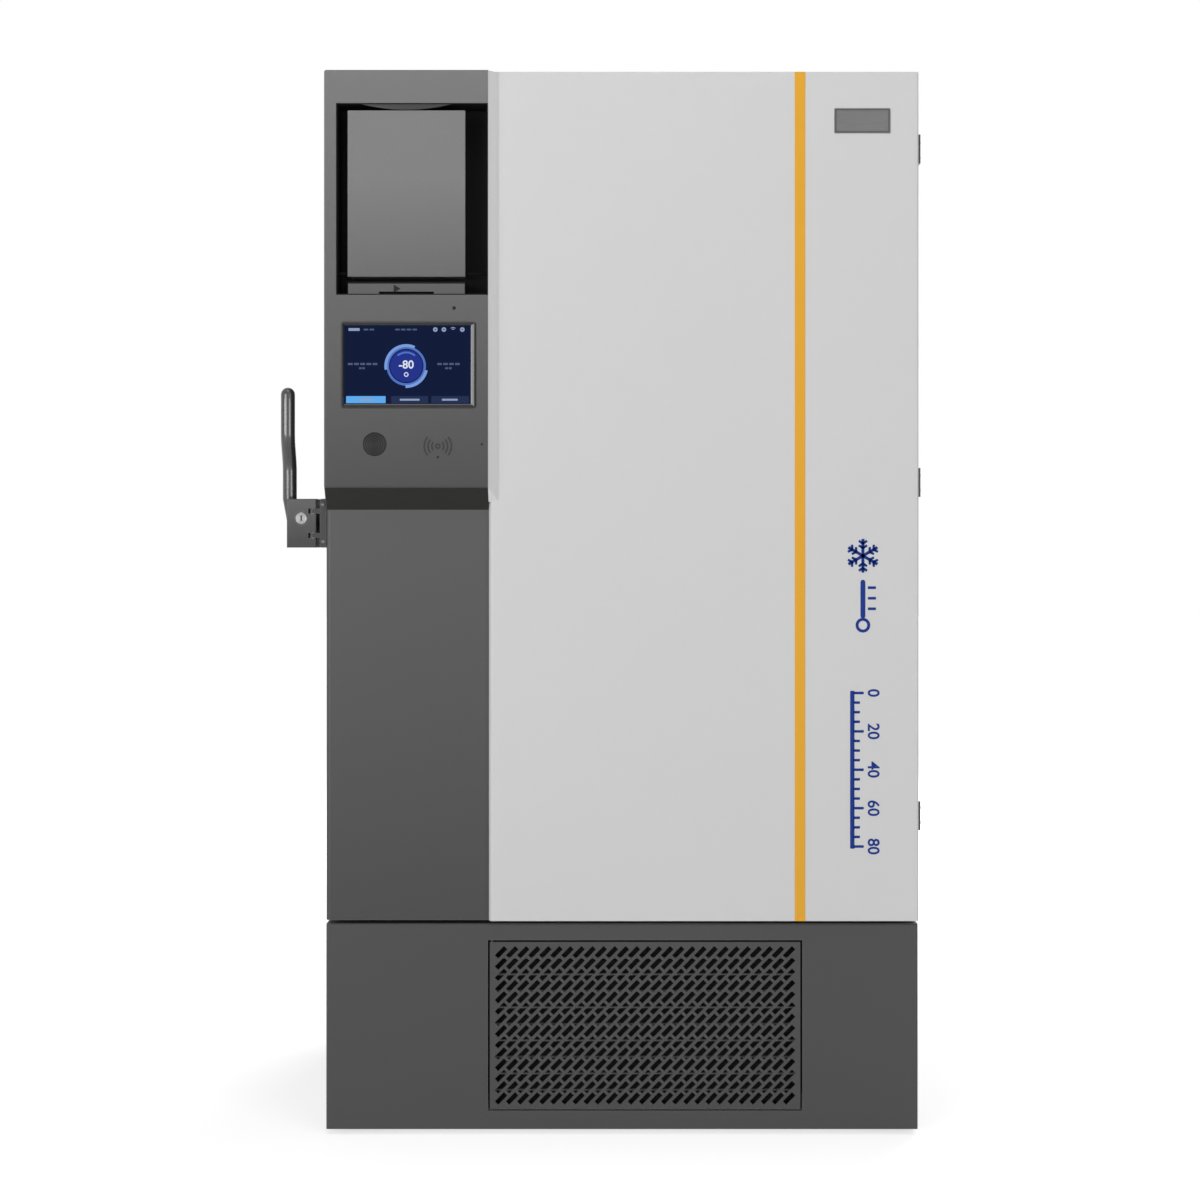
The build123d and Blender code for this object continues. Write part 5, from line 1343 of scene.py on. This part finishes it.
        Shop.pick(Pick.EDGE, lambda e: all(on_side(v.co) for v in e.verts))
        bpy.ops.transform.translate(value=tuple(way * width))

    def dress(self) -> None:
        """Finishes of the console's own parts."""
        self.coat(Palette.CONSOLE, "console_moulding")
        self.coat(Palette.NICHE, "niche_liner")
        self.coat(Palette.PIN, "bin_pivot_pins")
        self.coat(Palette.BIN, "document_bin")
        self.coat(Palette.MODULE, "display_module")
        self.coat(Palette.READER, "reader_pad")


@dataclass
class TouchScreen(SubAssembly):
    """What the display shows: a dial with a reading, labels, status marks and three buttons.

    Places on the glass are shares of its width and height, from its lower left corner. The bright
    arcs and the reading stand a number of lifts above the glass.
    """

    lift: float = 0.0003
    arc_lifts: float = 1.5
    top_lifts: float = 2.0
    corner: float = 0.0008
    dial_place: Spot = (0.479, 0.488)
    dial_radius: float = 0.040
    disc_share: float = 0.74
    disc_rim_share: float = 0.08
    ring_shares: Spot = (0.9, 0.79)
    arc_inner_share: float = 0.87
    arc_spans: tuple[Spot, ...] = ((128.0, 62.0), (-52.0, 40.0))
    inner_arc_shares: Spot = (0.66, 0.58)
    inner_arc_span: Spot = (90.0, 40.0)
    reading: str = "-80"
    reading_size: float = 0.021
    reading_rise: float = 0.002
    unit_drop: float = 0.0155
    unit_radii: Spot = (0.0042, 0.0026)
    captions: tuple[tuple[Spot, Spot], ...] = (
        ((0.035, 0.50), (0.27, 0.525)), ((0.12, 0.45), (0.17, 0.473)),
        ((0.715, 0.50), (0.895, 0.525)), ((0.775, 0.45), (0.83, 0.473)),
        ((0.155, 0.918), (0.245, 0.938)), ((0.395, 0.918), (0.57, 0.938)),
    )
    dash_pitch: float = 0.045
    dash_share: float = 0.78
    tab: tuple[Spot, Spot] = ((0.04, 0.912), (0.125, 0.945))
    tab_corner: float = 0.001
    status_places: tuple[Spot, ...] = ((0.70, 0.928), (0.765, 0.928), (0.905, 0.928))
    status_radii: Spot = (0.0042, 0.0012)
    signal_place: Spot = (0.835, 0.915)
    signal_radii: Spot = (0.0035, 0.0065)
    signal_line: float = 0.0014
    signal_span: Spot = (90.0, 45.0)
    button_levels: Spot = (0.04, 0.125)
    lit_button: Spot = (0.022, 0.322)
    dark_buttons: tuple[Spot, ...] = ((0.365, 0.645), (0.67, 0.955))
    button_captions: tuple[Spot, ...] = ((0.172, 0.05), (0.505, 0.075), (0.81, 0.06))
    button_caption_levels: Spot = (0.07, 0.093)

    def place(self, u: float, v: float) -> Vector:
        """Point on the glass."""
        low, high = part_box("touch_glass")
        return Vector((low.x + (high.x - low.x) * u, low.y, low.z + (high.z - low.z) * v))

    def patch(self, first: Spot, last: Spot, corner: float | None = None, rise: float = 0.0) -> Piece:
        """Lit rounded patch.

        Args:
            first: Place of its lower left corner.
            last: Place of its upper right corner.
            corner: Radius of its corners, if not the usual one.
            rise: Height of its rear face above the glass.

        Returns:
            The new object.
        """
        low, high = self.place(*first) + FRONT * (rise + self.lift), self.place(*last) + FRONT * rise
        return Shop.bar("patch", low, high, corner or self.corner, steps=3)

    def show(self, parts: Sequence[Piece], name: str, finish: Finish) -> None:
        """Join lit parts into one piece of the display."""
        self.fit(Shop.join(parts, name), finish, "door", "screen_glass")

    def build(self) -> None:
        """Dial, reading, labels, status marks and buttons."""
        self.dial()
        self.labels()
        self.buttons()

    def dial(self) -> None:
        """Rings and disc of the dial, and its reading."""
        centre, radius, lift = self.place(*self.dial_place), self.dial_radius, self.lift
        middle = centre + FRONT * lift / 2
        disc = Shop.disc("display_dial", middle, radius * self.disc_share, lift, sides=64)
        with Shop.edit(disc):
            Shop.pick(Pick.FACE, lambda f: f.normal.y < -FACING)
            bpy.ops.mesh.inset(thickness=radius * self.disc_rim_share)
        self.show([disc], "display_dial", Glow.DIAL)
        outer, inner = (radius * share for share in self.ring_shares)
        self.show([Shop.ring("ring", centre, outer, inner, lift)], "display_ring", Glow.RING)
        arcs = []
        for heading, half in self.arc_spans:
            ring = Shop.ring("arc", centre, radius, radius * self.arc_inner_share, lift * self.arc_lifts)
            arcs.append(Shop.sector(ring, centre, heading, half))
        self.show(arcs, "display_arcs", Glow.RING_BRIGHT)
        up, top = Axis.Z.vector(), lift * self.top_lifts
        text = [
            Shop.number(self.reading, centre + up * self.reading_rise, self.reading_size, top),
            Shop.ring("unit", centre - up * self.unit_drop, *self.unit_radii, top, sides=24),
        ]
        self.show(text, "display_reading", Glow.TEXT)
        outer, inner = (radius * share for share in self.inner_arc_shares)
        ring = Shop.ring("arc", centre, outer, inner, top)
        arc = Shop.sector(ring, centre, *self.inner_arc_span)
        self.show([arc], "display_inner_arc", Glow.RING)

    def labels(self) -> None:
        """Dashes where a display has its captions, and the status marks."""
        dashes = []
        for (left, bottom), (right, top) in self.captions:
            count = max(2, round((right - left) / self.dash_pitch))
            step = (right - left) / count
            for i in range(count):
                start, end = left + step * i, left + step * (i + self.dash_share)
                dashes.append(self.patch((start, bottom), (end, top)))
        self.show(dashes, "display_captions", Glow.FAINT)
        marks = [self.patch(*self.tab, self.tab_corner)]
        for u, v in self.status_places:
            marks.append(Shop.ring("dot", self.place(u, v), *self.status_radii, self.lift, sides=24))
        spot = self.place(*self.signal_place)
        for radius in self.signal_radii:
            ring = Shop.ring("arc", spot, radius, radius - self.signal_line, self.lift, sides=32)
            marks.append(Shop.sector(ring, spot, *self.signal_span))
        self.show(marks, "display_status_marks", Glow.SOFT)

    def buttons(self) -> None:
        """Three buttons along the bottom, the left one lit."""
        low, high = self.button_levels
        lit_one, *dark = [
            self.patch((left, low), (right, high))
            for left, right in (self.lit_button, *self.dark_buttons)
        ]
        self.show([lit_one], "display_button_lit", Glow.BUTTON)
        self.show(dark, "display_buttons_dark", Glow.BUTTON_DARK)
        low, high = self.button_caption_levels
        captions = [
            self.patch((u - wide, low), (u + wide, high), rise=self.lift)
            for u, wide in self.button_captions
        ]
        self.show(captions, "display_button_captions", Glow.SOFT)

    def dress(self) -> None:
        """Navy glass of the display."""
        self.coat(Palette.GLASS, "touch_glass")


@dataclass
class LeverHandle(SubAssembly):
    """Pull handle with its lock ring, and the hinges' screws."""

    lock_ring: float = 0.0142
    lock_hole: float = 0.0116
    lock_rise: float = 0.001
    keyway_half: Spot = (0.0011, 0.0050)
    keyway_depths: Spot = (0.0004, 0.004)
    keyway_round: float = 0.0008
    hinge_levels: Point = (0.555, 1.175, 1.795)
    leaf_half: float = 0.027
    leaf_screw_rows: float = 0.014
    leaf_screw_inset: float = 0.016
    leaf_screw: Spot = (0.0045, 0.0018)
    lever_tail: float = 0.054
    lever_tip: float = 0.003
    lever_straight: float = 0.057
    lever_crank: float = 0.057
    lever_ease: float = 0.0055
    lever_sides: int = 40
    crank_steps: int = 8
    dome_steps: int = 6
    dome_angle: float = 14.5
    base_screw: Spot = (0.0036, 0.0016)
    base_screw_shift: float = 0.0035
    base_screw_inset: float = 0.011

    def build(self) -> None:
        """Smooth lever, ring and keyway of the lock, screws on the base and the hinges."""
        self.lever()
        self.base_screws()
        self.lock()
        self.hinge_screws("hinge_door_halves", "door", 1)
        self.hinge_screws("hinge_cabinet_halves", "cabinet", -1)

    def lever_path(self) -> list[Point]:
        """Line that the lever follows.

        Returns:
            Depth, height and radius of its sections, from the tail's tip to the top.
        """
        low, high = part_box("handle_lever")
        radius = (high.x - low.x) / 2
        rear, front = high.y - radius, low.y + radius
        root = low.z + self.lever_tail
        bend = root + self.lever_straight - self.lever_ease
        rise = self.lever_crank + 2 * self.lever_ease
        path = [(rear, low.z, self.lever_tip), (rear, root, radius), (rear, bend, radius)]
        for i in range(1, self.crank_steps):
            share = i / self.crank_steps
            ease = share * share * (3 - 2 * share)
            path.append((rear + (front - rear) * ease, bend + rise * share, radius))
        top = high.z - radius
        path += [(front, bend + rise, radius), (front, top, radius)]
        for i in range(1, self.dome_steps + 1):
            angle = math.radians(self.dome_angle * i)
            path.append((front, top + radius * math.sin(angle), radius * math.cos(angle)))
        return path

    def lever(self) -> None:
        """Draw a round section up the lever's path and close it with a dome."""
        x = middle_of("handle_lever").x
        path = self.lever_path()
        Shop.clear()
        y, z, radius = path[0]
        bpy.ops.mesh.primitive_circle_add(
            vertices=self.lever_sides, radius=radius, fill_type="NGON", location=(x, y, z)
        )
        piece = Shop.settle("handle_lever_smooth")
        with Shop.edit(piece):
            bpy.ops.mesh.select_all(action="SELECT")
            for after in path[1:]:
                Shop.push(0.0, after[0] - y, after[1] - z)
                grow = after[2] / radius
                bpy.ops.transform.resize(value=(grow, grow, 1.0), center_override=(x, after[0], after[1]))
                y, z, radius = after
            bpy.ops.mesh.select_all(action="SELECT")
            bpy.ops.mesh.normals_make_consistent(inside=False)
        self.fit(piece, Palette.LEVER, "handle", "handle_metal", ["handle_lever"])

    def base_screws(self) -> None:
        """Two screws on the front of the handle's base."""
        low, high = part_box("handle_base")
        x = (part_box("handle_block")[1].x + high.x) / 2 + self.base_screw_shift
        turn = Matrix.Rotation(math.pi / 2, 4, "X")
        levels = (low.z + self.base_screw_inset, high.z - self.base_screw_inset)
        places = [Matrix.Translation((x, low.y, z)) @ turn for z in levels]
        piece = Shop.copies(Shop.screw(*self.base_screw), places, "handle_base_screws")
        self.fit(piece, Palette.HINGE, "door", "zinc_steel")

    def lock(self) -> None:
        """Ring round the lock, and its keyway."""
        x, _, z = middle_of("lock_barrel")
        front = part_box("handle_block")[0].y
        radii = (self.lock_ring, self.lock_hole)
        ring = Shop.ring("lock_ring", (x, front, z), *radii, self.lock_rise, sides=48)
        # The ring carries the block's painted sheen, brighter towards the top.
        self.fit(ring, Palette.BLOCK, "handle", "handle_metal")
        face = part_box("lock_barrel")[0].y
        wide, tall = self.keyway_half
        near, far = self.keyway_depths
        keyway = Shop.bar(
            "lock_keyway",
            (x - wide, face + near, z - tall), (x + wide, face + far, z + tall), self.keyway_round,
        )
        self.fit(keyway, Palette.DOT, "lock", "lock_chrome")

    def hinge_screws(self, node: str, body: str, way: int) -> None:
        """Two screws on each leaf of one set of hinge halves.

        Args:
            node: Frame node with the leaves.
            body: Body that carries them.
            way: 1 for leaves above the hinge levels, at the front, -1 for those below, at the rear.
        """
        low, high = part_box(node)
        y = low.y + self.leaf_screw_inset if way > 0 else high.y - self.leaf_screw_inset
        turn = Matrix.Rotation(math.pi / 2, 4, "Y")
        places = []
        for level in self.hinge_levels:
            for offset in (-self.leaf_screw_rows, self.leaf_screw_rows):
                spot = (high.x, y, level + way * self.leaf_half + offset)
                places.append(Matrix.Translation(spot) @ turn)
        piece = Shop.copies(Shop.screw(*self.leaf_screw), places, f"{node}_screws")
        self.fit(piece, Palette.STEEL, body, "zinc_steel")

    def dress(self) -> None:
        """Cast block with its painted sheen, its base and pins, and the satin lock."""
        self.coat(Palette.HANDLE, "handle_base")
        self.coat(Palette.BLOCK, "handle_block")
        self.coat(Palette.STEEL, "handle_pivot_pin", "latch_pawl")
        self.coat(Palette.CHROME, "lock_barrel")


@dataclass
class BaseUnit(SubAssembly):
    """Machine base: covers, grille, filter and the refrigeration set."""

    frame_width: float = 0.012
    tray: float = 0.007
    slat_pitch: float = 0.0305
    slat_height: float = 0.0032
    slat_setback: float = 0.0015
    slat_bevel: float = 0.001
    slat_crown: float = 0.0006
    screw_inset: float = 0.016
    screw_gaps: int = 4

    def build(self) -> None:
        """Filter tray with slats in place of the plain filter, and screws on the rear cover."""
        self.filter_panel()
        self.cover_screws()

    @staticmethod
    def work_front(piece: Piece, inset: float, shift: float) -> None:
        """Inset the front of a piece and move the inner part along the depth.

        Args:
            piece: The object.
            inset: Width of the rim.
            shift: How far the inner part goes, to the rear if above zero.
        """
        with Shop.edit(piece):
            Shop.pick(Pick.FACE, lambda f: f.normal.y < -FACING)
            bpy.ops.mesh.inset(thickness=inset)
            Shop.push(0.0, shift, 0.0)

    def filter_panel(self) -> None:
        """Mesh panel in a tray, with flat slats across its front."""
        low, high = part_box("air_filter")
        panel = Shop.block("filter_panel", low, high)
        self.work_front(panel, self.frame_width, self.tray)
        self.fit(panel, Palette.FILTER, "cabinet", "filter_foam", ["air_filter"])
        half = self.slat_height / 2
        slat = Shop.block(
            "slat",
            (low.x + self.frame_width, low.y + self.slat_setback, -half),
            (high.x - self.frame_width, low.y + self.tray, half),
        )
        self.work_front(slat, self.slat_bevel, -self.slat_crown)
        count = int((high.z - low.z - 2 * self.frame_width) / self.slat_pitch)
        start = (low.z + high.z - self.slat_pitch * (count - 1)) / 2
        places = [Matrix.Translation((0.0, 0.0, start + self.slat_pitch * i)) for i in range(count)]
        self.fit(Shop.copies(slat, places, "filter_slats"), Palette.SLAT, "cabinet", "filter_foam")

    def cover_screws(self) -> None:
        """Screws along the top and bottom of the base's rear cover."""
        low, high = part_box("base_rear_panel")
        inset, gaps = self.screw_inset, self.screw_gaps
        spots = []
        for i in range(gaps + 1):
            x = low.x + inset + (high.x - low.x - 2 * inset) * i / gaps
            spots += [(x, low.z + inset), (x, high.z - inset)]
        self.rear_screws(spots, high.y, "rear_cover_screws")

    def dress(self) -> None:
        """Finishes of the base and of what it holds."""
        self.coat(Palette.BASE, "base_front_cover", "base_side_panels", "base_rear_panel")
        self.coat(Palette.GRILLE, "base_grille")
        self.coat(Palette.PLASTIC, "power_inlet", "fan_rotor", "electrical_box")
        self.coat(Palette.ZINC, "base_pan", "fan_shroud", "caster_brackets")
        self.coat(Palette.ZINC, "caster_fork_left", "caster_fork_right")
        self.coat(Palette.FINS, "condenser")
        self.coat(Palette.ENAMEL, "compressors", "fan_motor")
        self.coat(Palette.RUBBER, "compressor_mounts", "heat_exchanger", "levelling_feet")
        self.coat(Palette.COPPER, "refrigerant_lines")
        wheels = [f"caster_wheel_{end}_{side}" for end in ("front", "rear") for side in ("left", "right")]
        self.coat(Palette.NYLON, *wheels)


@dataclass
class Studio:
    """Floor, light and camera of the photograph."""

    camera_place: Point = (across(0.0), -4.9645, 1.095)
    lens: float = 73.3
    sensor: float = 36.0
    picture: int = 1200
    shift: Spot = (-22.0, -60.0)  # pixels of the picture
    aim: Point = (0.0, 0.0, 1.0)
    sky: float = 0.2
    floor_size: float = 60.0
    floor_level: float = 0.9
    floor_reach: Spot = (1.0, 3.5)
    floor_lift: Spot = (0.62, 0.9)
    lamps: tuple[tuple[str, Point, float, float], ...] = (
        ("key_softbox", (-3.8, -6.6, 1.3), 3.0, 180.0),
        ("fill_softbox", (3.9, -6.4, 0.9), 3.2, 173.0),
        ("side_softbox", (-4.3, -4.2, 1.5), 1.3, 42.0),
        ("top_softbox", (-0.35, -1.6, 3.6), 1.4, 12.0),
        ("rear_softbox", (2.0, 5.2, 3.0), 3.0, 150.0),
    )

    def build(self) -> None:
        """Make the stage."""
        self.floor()
        self.world()
        self.lights()
        self.camera()

    @staticmethod
    def seen_directly(graph: Graph) -> Socket:
        """Mask of rays that show the background itself.

        Args:
            graph: Graph of the material or the world.

        Returns:
            Socket with 1 for what the camera, a reflection or glass shows.
        """
        path = graph.add("ShaderNodeLightPath").outputs
        both = graph.math("MAXIMUM", path["Is Camera Ray"], path["Is Glossy Ray"])
        return graph.math("MAXIMUM", both, path["Is Transmission Ray"])

    def floor(self) -> None:
        """Pale floor that keeps the shadow."""
        Shop.clear()
        bpy.ops.mesh.primitive_plane_add(size=self.floor_size)
        made = Shop.settle("studio_floor")
        paint = bpy.data.materials.new("pale_floor")
        paint.use_nodes = True
        graph = Graph(paint.node_tree)
        place = graph.add("ShaderNodeTexCoord").outputs["Object"]
        level = graph.ramp(graph.vector("LENGTH", {0: place}, "Value"), self.floor_reach + self.floor_lift)
        skin = {
            "Base Color": (self.floor_level, self.floor_level, self.floor_level, 1.0),
            "Roughness": 0.9, "Specular IOR Level": 0.1, "Emission Color": (1.0, 1.0, 1.0, 1.0),
            "Emission Strength": graph.math("MULTIPLY", self.seen_directly(graph), level),
        }
        graph.wire(paint.node_tree.nodes["Principled BSDF"], skin)
        made.data.materials.append(paint)

    def world(self) -> None:
        """White background with a plain level of light from all sides."""
        world = bpy.data.worlds.new("studio")
        world.use_nodes = True
        bpy.context.scene.world = world
        graph = Graph(world.node_tree)
        level = graph.math("MULTIPLY_ADD", self.seen_directly(graph), 1.0 - self.sky, self.sky)
        values = {"Color": (1.0, 1.0, 1.0, 1.0), "Strength": level}
        graph.wire(world.node_tree.nodes["Background"], values)

    def lights(self) -> None:
        """Soft boxes that look at the middle of the freezer."""
        Shop.clear()
        for name, place, size, power in self.lamps:
            bpy.ops.object.light_add(type="AREA", location=place)
            lamp = bpy.context.active_object
            lamp.name = name
            lamp.data.size = size
            lamp.data.energy = power
            away = Vector(place) - Vector(self.aim)
            lamp.rotation_euler = away.to_track_quat("Z", "Y").to_euler()

    def camera(self) -> None:
        """Camera at the photograph's viewing angle."""
        Shop.clear()
        bpy.ops.object.camera_add(location=self.camera_place, rotation=(math.pi / 2, 0.0, 0.0))
        made = bpy.context.active_object
        made.data.lens = self.lens
        made.data.sensor_width = self.sensor
        made.data.shift_x, made.data.shift_y = (step / self.picture for step in self.shift)
        bpy.context.scene.camera = made
        bpy.context.scene.view_settings.view_transform = "Standard"


def main() -> None:
    """Build and dress each sub-assembly, then the studio."""
    for part in (CabinetBody(), InnerDoors(), DoorSeal(), DoorFront(), Console(), TouchScreen(),
                 LeverHandle(), BaseUnit()):
        part.build()
        part.dress()
        LOG.info("finished %s", type(part).__name__)
    Studio().build()


if __name__ == "__main__":
    main()
